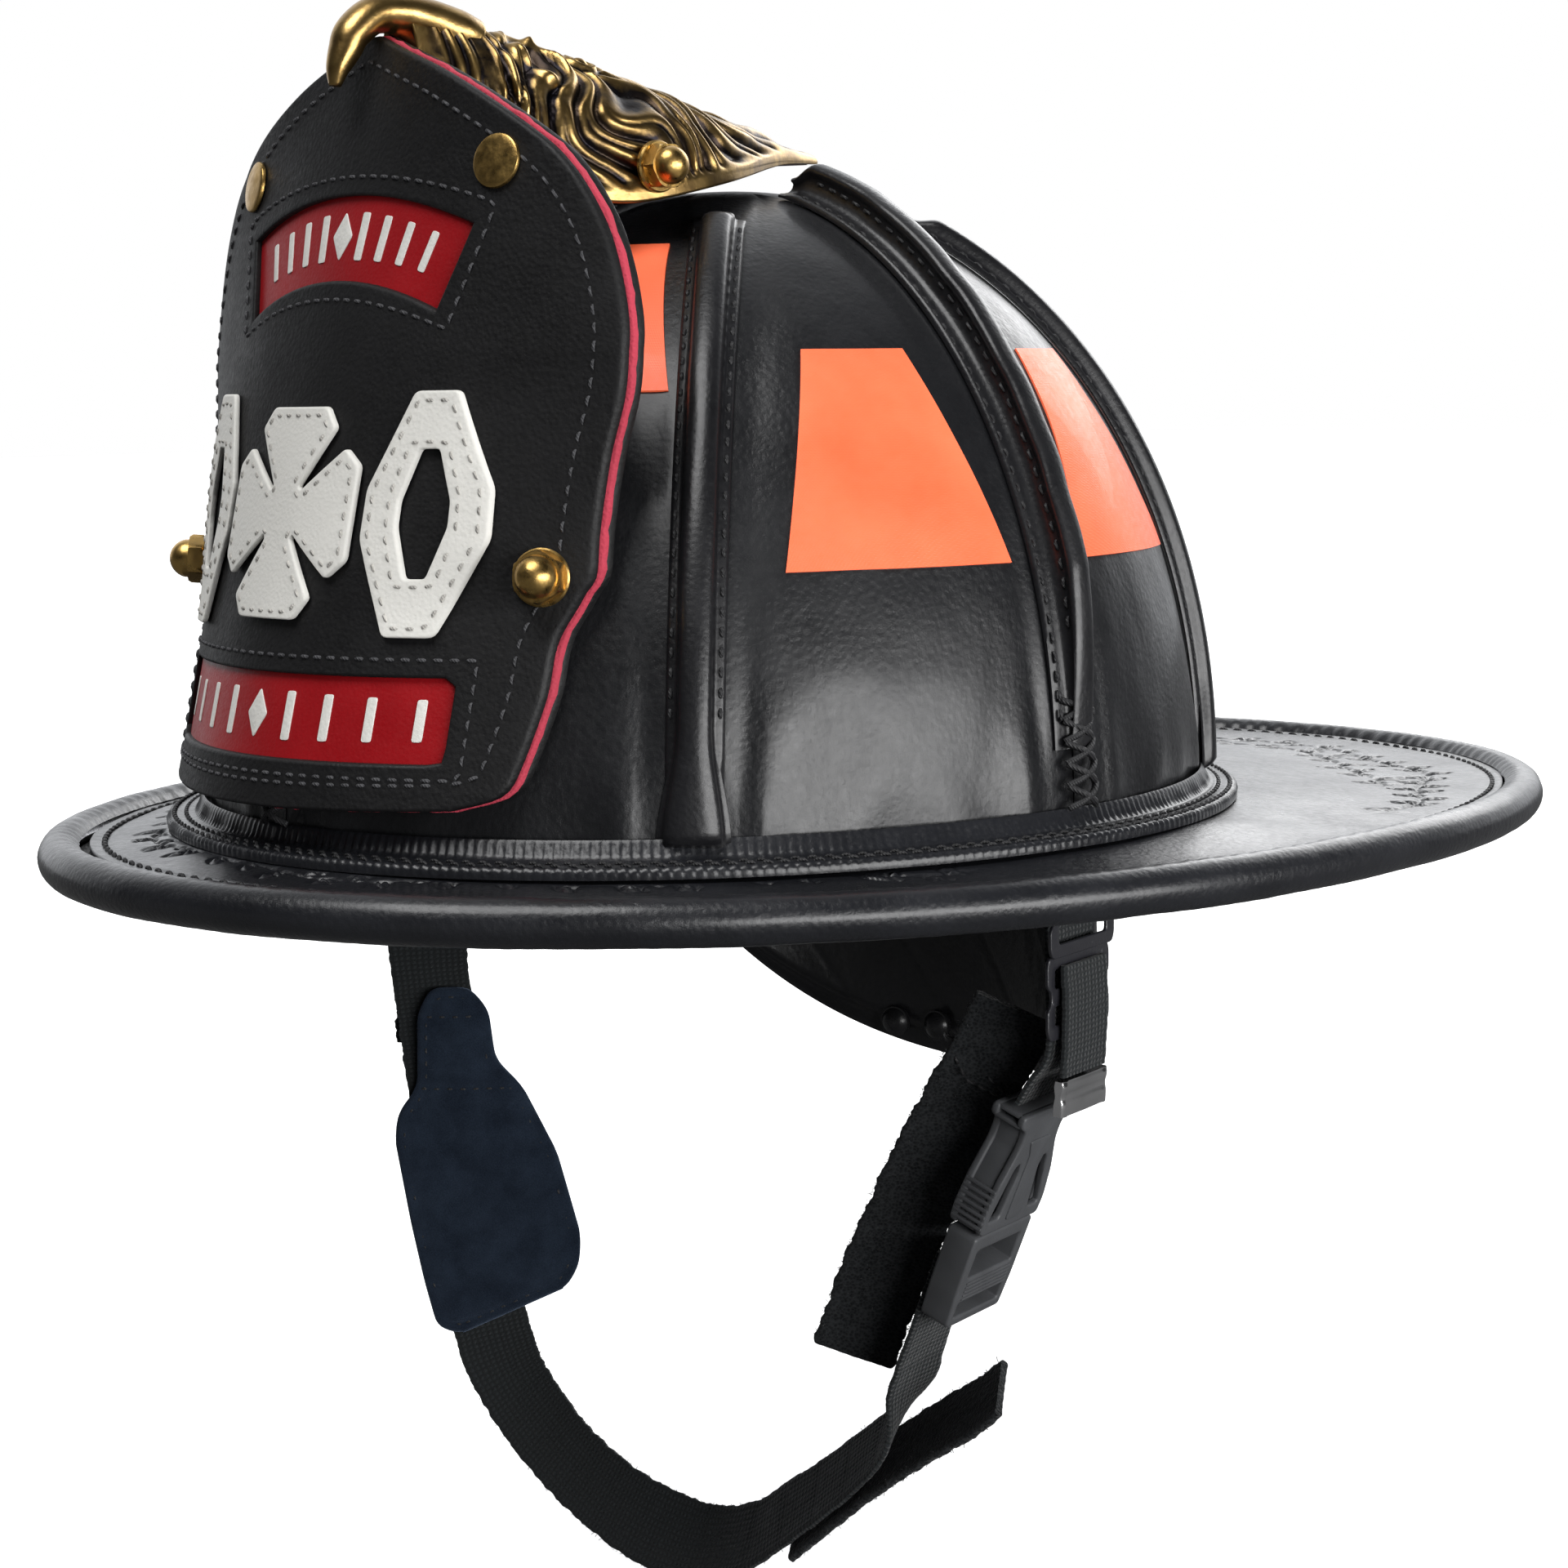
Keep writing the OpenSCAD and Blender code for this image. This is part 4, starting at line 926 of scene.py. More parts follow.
def make_brim():
    """Upper and lower brim leathers, the tooled bands front and rear, and their stitch rows."""
    count = 1500
    t = np.linspace(0, 2 * PI, count, endpoint=False)[None, :]
    f = np.concatenate([np.linspace(0, 1, 90)])[:, None]
    mid = brim_grid(t + 0 * f, f + 0 * t, 0.6)
    radial = np.linalg.norm((mid - brim_grid(t + 0 * f, 0 * f + 0 * t, 0.6))[..., :2], axis=-1)
    width = radial[-1:, :]
    c = np.cos(t)
    length = np.concatenate([[0], np.cumsum(np.linalg.norm(np.diff(rim(t[0]), axis=0), axis=1))])[None,
                                                                                                  :] * 0.86
    top = 1.6 + 0.22 * rough_noise(mid * [1, 1, 0.2], 30, 3, 11)
    # Rear band: an arch of leaves round a plain middle
    rear = smooth((-c - 0.34) / 0.14)
    back_at = 21 + 9 * smooth((-c - 0.5) / 0.5)
    top = top + rear * leaf_relief(length * 1.0 + 0 * f, (radial - back_at) * 1.0) * 0.75 \
        * smooth((radial - 10.5) / 2) * smooth((width - 13 - radial) / 3)
    inner = smooth((-c - 0.62) / 0.1) * smooth((width - 26 - radial) / 4)
    top = top + inner * leaf_relief(length * 0.8 + 31 + 0 * f, (radial - back_at - 17)) * 0.7
    front = smooth((c - 0.30) / 0.14)
    top = top + front * leaf_relief(length + 17 + 0 * f, (radial - 17) * 1.05) * 0.75 \
        * smooth((radial - 8.5) / 1.5) * smooth((width - 9 - radial) / 2)
    # Groove that the rim's stitch row lies in
    top = top - 0.35 * bell(radial - 3.2, 0.8)
    up = mid.copy()
    up[..., 2] += top
    down = mid.copy()
    down[..., 2] += -0.8
    obj = sheet_object("brim_top_leather", [(up, down)], wrap=True, crease=0)
    piece(fix_normals(obj), "shell", "brim_leather", "brim_upper")
    coarse_t = np.linspace(0, 2 * PI, 360, endpoint=False)[None, :]
    coarse_f = np.linspace(0, 1, 30)[:, None]
    low = brim_grid(coarse_t + 0 * coarse_f, coarse_f + 0 * coarse_t, -4.0)
    upper, lower = low.copy(), low.copy()
    upper[..., 2] -= 1.1
    lower[..., 2] -= 3.1 - 0.2 * rough_noise(low, 26, 3, 21)
    piece(fix_normals(sheet_object("brim_lining_leather", [(upper, lower)], wrap=True)), "shell",
          "brim_leather",
          "brim_under")
    # Stitches: one row by the roll above and below; the double row at the crown is sewn in make_welt
    tt = np.linspace(0, 2 * PI, 2400)
    rows = []
    for inset, lift, sign in ((3.2, 1.35, 1), (3.2, -3.15, -1)):
        p = brim_grid(tt, np.full_like(tt, inset) / np.interp(tt, t[0], width[0], period=2 * PI), 0.6)
        p[:, 2] += lift
        rows.append((p, np.tile([0, 0, sign], (len(tt), 1))))
    piece(stitch_object("brim_stitches", rows, stitch=3.3, gap=1.3, radius=0.42, lift=0.1, slant=0.5),
          "shell",
          "brim_leather", paint=BLACK_THREAD)


def make_roll():
    """Rolled edge: leather drawn round the wire, with fine gathers on its inner side."""
    count, around = 1100, 30
    t = np.linspace(0, 2 * PI, count, endpoint=False)
    c = rim(t)
    out = unit(np.stack([np.sin(t) * 197.5, -np.cos(t) * 147.2, 0 * t], -1))
    run = np.concatenate([[0], np.cumsum(np.linalg.norm(np.diff(c, axis=0), axis=1))])
    rings = []
    angles = np.linspace(150, -150, around)
    for i in range(count):
        gather = np.array([math.sin(run[i] * 1.15 + 1.3 * math.sin(run[i] * 0.21)) for _ in angles])
        inner = smooth((np.abs(angles) - 62) / 70)
        radius = 5 + 0.16 * gather * inner
        a = np.radians(angles)
        place = c[i] + out[i] * (5 * np.cos(a))[:, None] + np.array([0, 0, 1]) * (5 * np.sin(a))[:, None]
        radius = radius + 0.14 * rough_noise(place * [1, 1, 1.6], 16, 2, 8) - 0.05
        outer = c[i] + out[i] * (radius * np.cos(a))[:, None] + np.array([0, 0, 1]) * (radius * np.sin(a))[:,
            None]
        b = a[::-2]
        inside = c[i] + out[i] * (2.6 * np.cos(b))[:, None] + np.array([0, 0, 1]) * (2.6 * np.sin(b))[:, None]
        rings.append(np.concatenate([outer, inside]))
    piece(fix_normals(ring_object("rolled_edge_leather", rings, loop=True, crease=60)), "shell",
          "brim_leather",
          "rim_binding")


def make_welt():
    """Flat welt over the joint of crown and brim: a ribbed lip, a tread of ridges and two stitch rows."""
    count = 1100
    t = np.linspace(0, 2 * PI, count, endpoint=False)
    run = np.concatenate([[0], np.cumsum(np.linalg.norm(np.diff(collar(t, 5, 0.0), axis=0), axis=1))])
    section = [(1.2, 6.4), (1.6, 6.9), (2.1, 6.2), (2.9, 4.1), (3.8, 3.05), (4.6, 2.95), (5.2, 3.0), (5.7,
                                                                                                      2.55),
               (6.6, 2.75), (8.2, 2.6), (8.9, 2.55), (9.6, 2.2), (9.95, 1.5), (9.9, 0.1), (1.2, 1.1)]
    ridged = {2: 0.12, 3: 0.3, 10: 0.12, 11: 0.25, 12: 0.25}
    rings = []
    for i in range(count):
        ripple = math.sin(run[i] * 2 * PI / 2.1)
        rings.append([collar(t[i], off + ridged.get(k, 0) * ripple * 0.6,
                             CROWN_Z + 0.4 + z - 0.4 + ridged.get(k, 0) * ripple) for k, (off, z) in
                      enumerate(section)])
    piece(fix_normals(ring_object("crown_welt_leather", rings, loop=True, crease=60)), "shell",
          "brim_leather",
          "crown_welt")
    tt = np.linspace(0, 2 * PI, 2000)
    rows = [(collar(tt, 5.6, CROWN_Z + 2.75), np.tile([0, 0, 1], (len(tt), 1))),
            (collar(tt, 8.3, CROWN_Z + 2.75), np.tile([0, 0, 1], (len(tt), 1)))]
    piece(stitch_object("welt_stitches", rows, stitch=2.4, gap=1.1, radius=0.36, lift=0.05, slant=0.5),
          "shell",
          "brim_leather", paint=BLACK_THREAD)


make_crown_panels()
make_combs()
make_lacing()
make_patches()
make_brim()
make_roll()
make_welt()


# ---------- Front shield ----------

SHIELD = [(50, 19), (55, 20.5), (57.8, 22), (59.6, 26), (62.2, 40.7), (62.8, 52), (66, 61), (67.8, 65),
          (68.3, 74.3),
          (69.9, 88.5), (72.2, 100), (72.9, 109), (72.6, 115), (71.3, 121.7), (69.8, 127), (67.7, 132.7),
          (64.5, 138.5), (60.3, 144.3), (55, 149.5), (47.5, 154.8), (36.6, 161), (24, 167), (11, 172), (1.5,
              175.6)]


SHIELD_LEAN = 0.262
RIVET = (43.3, 147.1)
BOLT = (60.3, 64.9)


def shield_curl(z):
    """How strongly the shield curls round the crown at height z."""
    return np.interp(z, (24, 58, 109, 150, 176), (0.0068, 0.0065, 0.0042, 0.0031, 0.0012))


def shield_place(x, z, depth=0.0):
    """Point of the shield's face at height z, depth millimetres back into the leather."""
    x, z, depth = np.broadcast_arrays(*(np.asarray(v, float) for v in (x, z, depth)))
    return np.stack([x, -140.6 + SHIELD_LEAN * z + shield_curl(z) * x * x + depth, z], -1)


def on_shield(x, z):
    """Matrix in millimetres at a place on the shield's face, Z along its outward normal."""
    across = math.atan(2 * shield_curl(z) * x)
    up = SHIELD_LEAN + (shield_curl(z + 1) - shield_curl(z - 1)) / 2 * x * x
    turn = Matrix.Rotation(across, 4, "Z") @ Matrix.Rotation(PI / 2 - math.atan(up * math.cos(across)), 4,
                                                             "X")
    return Matrix.Translation(Vector(shield_place(x, z))) @ turn


def shield_loop():
    right = resample(SHIELD, 1.6)
    left = right[::-1] * [-1, 1]
    bottom = np.linspace(-50, 50, 54)[1:-1]
    foot = np.stack([bottom, 19 - 0.9 * (1 - (bottom / 50) ** 2)], -1)
    return np.concatenate([right, left, foot])


def inset(loop, d):
    """Closed outline moved d inward, for one that runs anticlockwise."""
    along = unit(np.roll(loop, -1, 0) - np.roll(loop, 1, 0))
    return loop + np.stack([-along[:, 1], along[:, 0]], -1) * d


def clean_inset(loop, d):
    """Inset outline without the loops that sharp corners would leave."""
    moved = inset(loop, d)
    gap = np.array([np.min(np.linalg.norm(loop - p, axis=1)) for p in moved])
    kept = moved[gap > d - 0.25]
    return even_steps(np.concatenate([kept, kept[:1]]), 0.8)


def arch_loop(half, edge, middle, grow=0.0, count=26):
    """Arched window between two arcs: half widths, end heights and middle heights of its lower and upper edge."""
    s = np.linspace(-1, 1, count)
    low = np.stack([s * (half[0] + grow * 0.9), middle[0] - grow - (middle[0] - edge[0]) * s * s], -1)
    high = np.stack([s * (half[1] + grow * 1.35), middle[1] + grow - (middle[1] - edge[1]) * s * s], -1)
    return np.concatenate([low, high[::-1]])


def box_loop(half, low, high, step=4.0):
    x = np.linspace(-half, half, int(2 * half / step) + 1)
    return np.concatenate([np.stack([x, 0 * x + low], -1), np.stack([x[::-1], 0 * x + high], -1)])


def round_corners(loop, radius, steps=4):
    """Outline with each corner of a polygon rounded."""
    loop = np.asarray(loop, float)
    out = []
    for i, p in enumerate(loop):
        a, b = loop[i - 1], loop[(i + 1) % len(loop)]
        reach_a, reach_b = np.linalg.norm(a - p), np.linalg.norm(b - p)
        r = min(radius, reach_a * 0.45, reach_b * 0.45)
        p0, p2 = p + (a - p) / reach_a * r, p + (b - p) / reach_b * r
        for f in np.linspace(0, 1, steps + 1):
            out.append((1 - f) ** 2 * p0 + 2 * f * (1 - f) * p + f * f * p2)
    return np.array(out)


def shield_warp(depth, flutter=0.0):
    """Carries flat plate points onto the shield, their middle plane depth millimetres into the leather."""
    def warp(p):
        wave = flutter * rough_noise(np.stack([p[:, 0], p[:, 1], 0 * p[:, 0]], -1), 26, 2, 31)
        return shield_place(p[:, 0], p[:, 1], depth - p[:, 2] + wave)
    return warp


TITLE_UPPER = dict(half=(33, 39), edge=(118, 135), middle=(125, 142.5))
CROSS = [(4.6, 5.4), (13.2, 17.2), (9.6, 21.6), (-9.6, 21.6), (-13.2, 17.2), (-4.6, 5.4)]


def cross_loop():
    points = []
    for turn in range(4):
        c, s = math.cos(turn * PI / 2), math.sin(turn * PI / 2)
        points += [(x * c - y * s, x * s + y * c) for x, y in CROSS]
    return np.array(points)


def lozenge_loops():
    w, h, stroke = 13.5, 24.5, 8
    outer = [(w, -5), (w, 5), (5, h), (-5, h), (-w, 5), (-w, -5), (-5, -h), (5, -h)]
    iw, ih = w - stroke, h - 1.45 * stroke
    inner = [(iw, -2.6), (iw, 2.6), (2.2, ih), (-2.2, ih), (-iw, 2.6), (-iw, -2.6), (-2.2, -ih), (2.2, -ih)]
    return np.array(outer, float), np.array(inner, float)


def make_shield():
    """Layered leather shield with cut windows, white leather marks and stitching."""
    outline = shield_loop()
    upper = arch_loop(**TITLE_UPPER)
    lower = round_corners(box_loop(47.5, 28, 45, 95.0), 1.6)
    lower = np.concatenate([even_steps(np.concatenate([lower, lower[:1]]), 3.0)[:-1]])
    piece(plate_object("shield_face_leather", [outline, upper, lower], 2.3, 0.75, shield_warp(1.15, 0.12),
                       3.0),
          "shell", "shield_leather", "shield_front")
    along = np.arange(len(outline))
    frayed = inset(outline, -0.25) + 0.22 * np.stack([value_noise(np.stack([outline[:, 0], outline[:, 1],
                                                                            0 * along], -1), 2.0, 5)] * 2, -1)
    piece(plate_object("shield_piping_felt", [frayed], 1.25, 0.25, shield_warp(2.98), 4.0), "shell",
          "piping_red",
          "shield_piping")
    piece(plate_object("shield_backing_leather", [outline], 2.35, 0.7, shield_warp(4.83), 4.0), "shell",
          "shield_leather", "shield_backing")
    piece(plate_object("title_field_upper", [arch_loop(**TITLE_UPPER, grow=1.4)], 0.5, 0.1,
                       shield_warp(1.75), 3.0),
          "shell", "title_red", "title_panel_upper")
    piece(plate_object("title_field_lower", [box_loop(49, 26.6, 46.4)], 0.5, 0.1, shield_warp(1.75), 3.0),
          "shell", "title_red", "title_panel_lower")
    make_title_marks()
    rows = []

    def sew(loop, depth=0.0):
        closed = np.concatenate([loop, loop[:1]])
        fine = even_steps(closed, 0.8)
        points = shield_place(fine[:, 0], fine[:, 1], depth)
        rows.append((points, unit(points - shield_place(fine[:, 0], fine[:, 1], depth + 1) - [0, 0, -0.25])))

    sew(clean_inset(outline, 5.2))
    sew(arch_loop(**TITLE_UPPER, grow=3.9, count=40))
    sew(box_loop(51, 25.0, 48.6))
    piece(stitch_object("shield_stitches", rows, stitch=2.5, gap=1.1, radius=0.33, lift=0.02), "shell",
          "shield_leather", paint=GREY_THREAD)
    make_emblem()


def make_title_marks():
    """Plain ornament on both red fields: bars that fan out from a small diamond."""
    parts = []
    for n in range(-4, 5):
        if n == 0:
            loop = np.array([(3.4, 0), (0, 5), (-3.4, 0), (0, -5)], float)
        else:
            wide, tall = 2.5 - 0.15 * abs(n), 5.2 - 0.25 * abs(n)
            loop = np.array([(wide / 2, -tall), (wide / 2, tall), (-wide / 2, tall), (-wide / 2, -tall)],
                            float)
        for centre, z, bend in ((n * 6.9, 134.2, 0.0075), (n * 10.3, 36.5, 0.0)):
            x = centre
            lean = -x * 0.012 if bend else 0.0
            c, s = math.cos(lean), math.sin(lean)
            spot = loop @ np.array([[c, s], [-s, c]]) + [x, z - bend * x * x * 0.75]
            parts.append(plate_object("mark", [round_corners(spot, 0.5, 2)], 0.3, 0.08, shield_warp(1.42),
                                      4.0))
            parts[-1].data.materials.append(WHITE_MARK)
    obj = join("title_ornament", parts)
    piece(obj, "shell", "white_leather")


def make_emblem():
    """Flared cross between two hollow lozenges, cut from white leather and sewn down near their edges."""
    outer, inner = lozenge_loops()
    parts, rows = [], []

    def sew(loop, at, d):
        fine = even_steps(np.concatenate([loop, loop[:1]]), 1.2)[:-1]
        ring = clean_inset(fine, d) + at
        points = shield_place(ring[:, 0], ring[:, 1], -1.95)
        rows.append((points, np.tile(unit([0, -0.97, 0.25]), (len(ring), 1))))

    for at in (np.array([38.0, 77.5]), np.array([-38.0, 77.5])):
        hole = round_corners(inner, 0.8, 2)
        parts.append(plate_object("lozenge", [round_corners(outer, 1.2, 3) + at, hole + at], 1.5, 0.5,
                                  shield_warp(-1.12), 3.0))
        sew(outer, at, 1.9)
        grown = inner * [1.0, 1.0] + np.sign(inner) * [1.9, 1.5]
        points = even_steps(np.concatenate([grown, grown[:1]]), 0.8) + at
        place = shield_place(points[:, 0], points[:, 1], -1.95)
        rows.append((place, np.tile(unit([0, -0.97, 0.25]), (len(points), 1))))
    at = np.array([0.0, 77.5])
    parts.append(plate_object("cross", [round_corners(cross_loop(), 1.0, 3) + at], 1.5, 0.5,
                              shield_warp(-1.12), 3.0))
    sew(cross_loop(), at, 1.7)
    for p in parts:
        p.data.materials.append(PAINTS["white_leather"])
    piece(join("emblem_leather", parts), "shell", "white_leather", "shield_emblem")
    piece(stitch_object("emblem_stitches", rows, stitch=2.2, gap=1.4, radius=0.3, lift=-0.12), "shell",
          "white_leather", paint=GREY_WHITE)


def lathe(name, profile, sides=48, matrix=None, hexed=None):
    """Turned solid from (radius, height) pairs in millimetres, about Z; hexed gives the flat-to-flat
    width of the rows whose section is a hexagon."""
    rings = []
    ang = np.linspace(0, 2 * PI, sides, endpoint=False)
    for k, (r, z) in enumerate(profile):
        radius = np.full(sides, float(r))
        if hexed and hexed[k]:
            sixth = (ang + PI / 6) % (PI / 3) - PI / 6
            radius = np.minimum(radius, hexed[k] / 2 / np.cos(sixth))
        rings.append(np.stack([radius * np.cos(ang), radius * np.sin(ang), np.full(sides, float(z))], -1))
    obj = fix_normals(ring_object(name, rings, crease=30))
    if matrix is not None:
        scaled = matrix.copy()
        scaled.translation = matrix.translation * MM
        obj.data.transform(scaled)
    return obj


EAGLE_PIN = (-42, 149)


def acorn(name, flat, matrix):
    """Washer, chamfered hexagon and domed cap of an acorn nut, seated 0.3 mm above its place."""
    w, h = flat * 0.62, flat * 0.46
    full = flat / math.sqrt(3) * 1.0
    profile = [(w - 0.3, 0.3), (w, 0.5), (w, 1.15), (w - 0.35, 1.5), (full - 0.5, 1.5), (full + 0.4, 1.85),
               (full + 0.4, 4.2), (full - 0.45, 4.9), (h, 4.9), (h * 0.98, 5.3)]
    hexed = [None, None, None, None, flat, flat, flat, flat, None, None]
    for a in np.linspace(12, 88, 9):
        profile.append((h * math.cos(math.radians(a)), 4.9 + h * math.sin(math.radians(a))))
        hexed.append(None)
    return lathe(name, profile, 60, matrix, hexed)


def make_fittings():
    """Rivets, washers and acorn nuts of the shield and the eagle."""
    heads = []
    for s in (-1, 1):
        profile = [(5.3, 0.05), (5.6, 0.25), (5.6, 0.6), (5.45, 0.95), (5.0, 1.15), (4.2, 1.2), (2.4, 1.42),
                   (0.05, 1.5)]
        heads.append(lathe("rivet_head", profile, 56, on_shield(RIVET[0] * s, RIVET[1])))
        back = [(3.9, -7.2), (4.0, -7.0), (4.0, -6.3), (3.6, -6.15), (0.1, -6.15)]
        heads.append(lathe("rivet_burr", back, 40, on_shield(RIVET[0] * s, RIVET[1])))
    for h in heads:
        h.data.materials.append(PAINTS["brass"])
    piece(join("shield_rivet_heads", heads), "shell", "brass", "shield_rivets")
    nuts = [acorn("nut", 9.5, on_shield(BOLT[0] * s, BOLT[1]) @ Matrix.Translation((0, 0,
                                                                                    0.3))) for s in (-1, 1)]
    for n in nuts:
        n.data.materials.append(PAINTS["brass"])
    piece(join("shield_acorn_nuts", nuts), "shell", "brass", "shield_nuts")
    nuts = []
    for s in (-1, 1):
        place = Matrix.Translation((26.3 * s, *EAGLE_PIN)) @ Matrix.Rotation(PI / 2 * s, 4, "Y")
        nuts.append(acorn("nut", 9, place @ Matrix.Translation((0, 0, 2))))
        nuts.append(lathe("stem", [(1.95, -11), (2, -10.7), (2, 3.2), (1.9, 3.4)], 24, place))
    for n in nuts:
        n.data.materials.append(PAINTS["brass"])
    piece(join("eagle_acorn_nuts", nuts), "shell", "brass", "eagle_nuts")


# ---------- Eagle ----------

EAGLE = np.array([[-88, 181.6, 172, 6], [-80, 180.5, 162.2, 13], [-72, 178.8, 155.2, 19],
                  [-64, 177.1, 147.2, 22.5], [-55, 174.8, 141, 25], [-46, 172.9, 141.2, 27], [-37, 171,
                                                                                              142.8, 28.5],
                  [-27, 168.7, 145, 28.5], [-18, 166.3, 146.8, 26], [-8, 164, 148.8, 21], [2, 162.3, 150.8,
                                                                                           15],
                  [12, 160.4, 152.6, 10], [22, 157.8, 153.6, 6], [31, 156, 154, 2.2]], float)
BEAK = np.array([[-104.7, 165, 1.3], [-103.9, 168.5, 2.5], [-102, 172.5, 3.5], [-99.8, 176.4, 4.0], [-94.5,
    180.2, 4.2],
                 [-88, 180.8, 4.6], [-82, 179.5, 5.6], [-77, 177.5, 6.5], [-73, 176, 6.5]], float)


def beak_hollow(y, v):
    """Distance from the middle of the open beak corner, 1 at its lip."""
    return np.hypot((y + 61.0 - 0.12 * (v - 12)) / 5.2, (v - 12) / 8.8)


def eagle_relief(y, v, reach):
    """Cast relief: y along the body, v millimetres down from the crest, reach the distance to the skirt."""
    h = np.zeros(y.shape)
    # Plumes that fan out behind and below the head, each with a finer split
    cy, cv = -56.0, -6.0
    dy, dv = (y - cy), (v - cv)
    radius = np.hypot(dy, dv * 1.05) + 1e-6
    angle = np.arctan2(dv, dy)
    wander = 0.11 * np.sin(radius / 5.5 + 2 * np.sin(angle * 3)) \
        + 0.10 * value_noise(np.stack([y / 1.4, v, 0 * y], -1), 9, 3)
    turn = angle + wander
    coarse = np.abs(np.sin(turn * 15)) ** 0.7
    fine = np.abs(np.sin(turn * 30 + 0.7 * np.sin(radius / 7))) ** 0.8
    far = smooth((radius - 26) / 24)
    plumes = mix(coarse, 0.55 * coarse + 0.45 * fine, far)
    tips = 0.5 + 0.5 * np.cos((radius + 5 * np.sin(turn * 15 + 0.5)) * 2 * PI / 17)
    plumes = plumes * (0.72 + 0.28 * tips)
    fan = smooth((radius - 13) / 5) * smooth((dy + 6 + 0.55 * dv) / 5)
    h += 2.7 * (plumes - 0.62) * fan
    # Two collars of rings behind the beak, with a plain band between them
    for start, end in ((-84.5, -76.5), (-74.5, -66.5)):
        window = smooth((y - start) / 1.5) * smooth((end - y) / 1.5) * smooth((v - 1.5) / 4)
        h += 1.5 * (np.abs(np.sin((y + 0.9 * np.sin(v / 4.5) + 0.12 * v) * PI / 2.6)) ** 0.8 - 0.55) * window
    # Hollow of the open beak corner, with a smooth lip
    ring = beak_hollow(y, v)
    h -= 2.5 * (1 - smooth((ring - 0.35) / 0.6))
    h += 1.3 * bell(ring - 1.12, 0.18)
    # Brow that arches over the eye, and the eye itself
    eye = np.hypot(y + 47.2, (v - 9.5) * 1.05)
    clear = 1 - smooth((eye - 4.0) / 2.0)
    h = h * (1 - clear)
    h += 1.5 * bell(eye - 3.3, 0.75) + 1.9 * np.sqrt(np.clip(1 - (eye / 2.1) ** 2, 0, 1))
    brow = np.hypot((y + 49) / 10, (v - 8.5) / 6.2)
    h += 1.6 * bell(brow - 1.05, 0.16) * smooth((9 - v) / 5)
    # Crest line over the head
    h += 0.8 * bell(v, 2.2) * smooth((-40 - y) / 8) * smooth((y + 86) / 6)
    # Plain flange along the lower edge
    low = smooth((reach - v - 2.6) / 2.2)
    h = h * low + 0.9 * (1 - low)
    # Plain neck where the beak joins
    return h * smooth((y + 87.0) / 3.5)


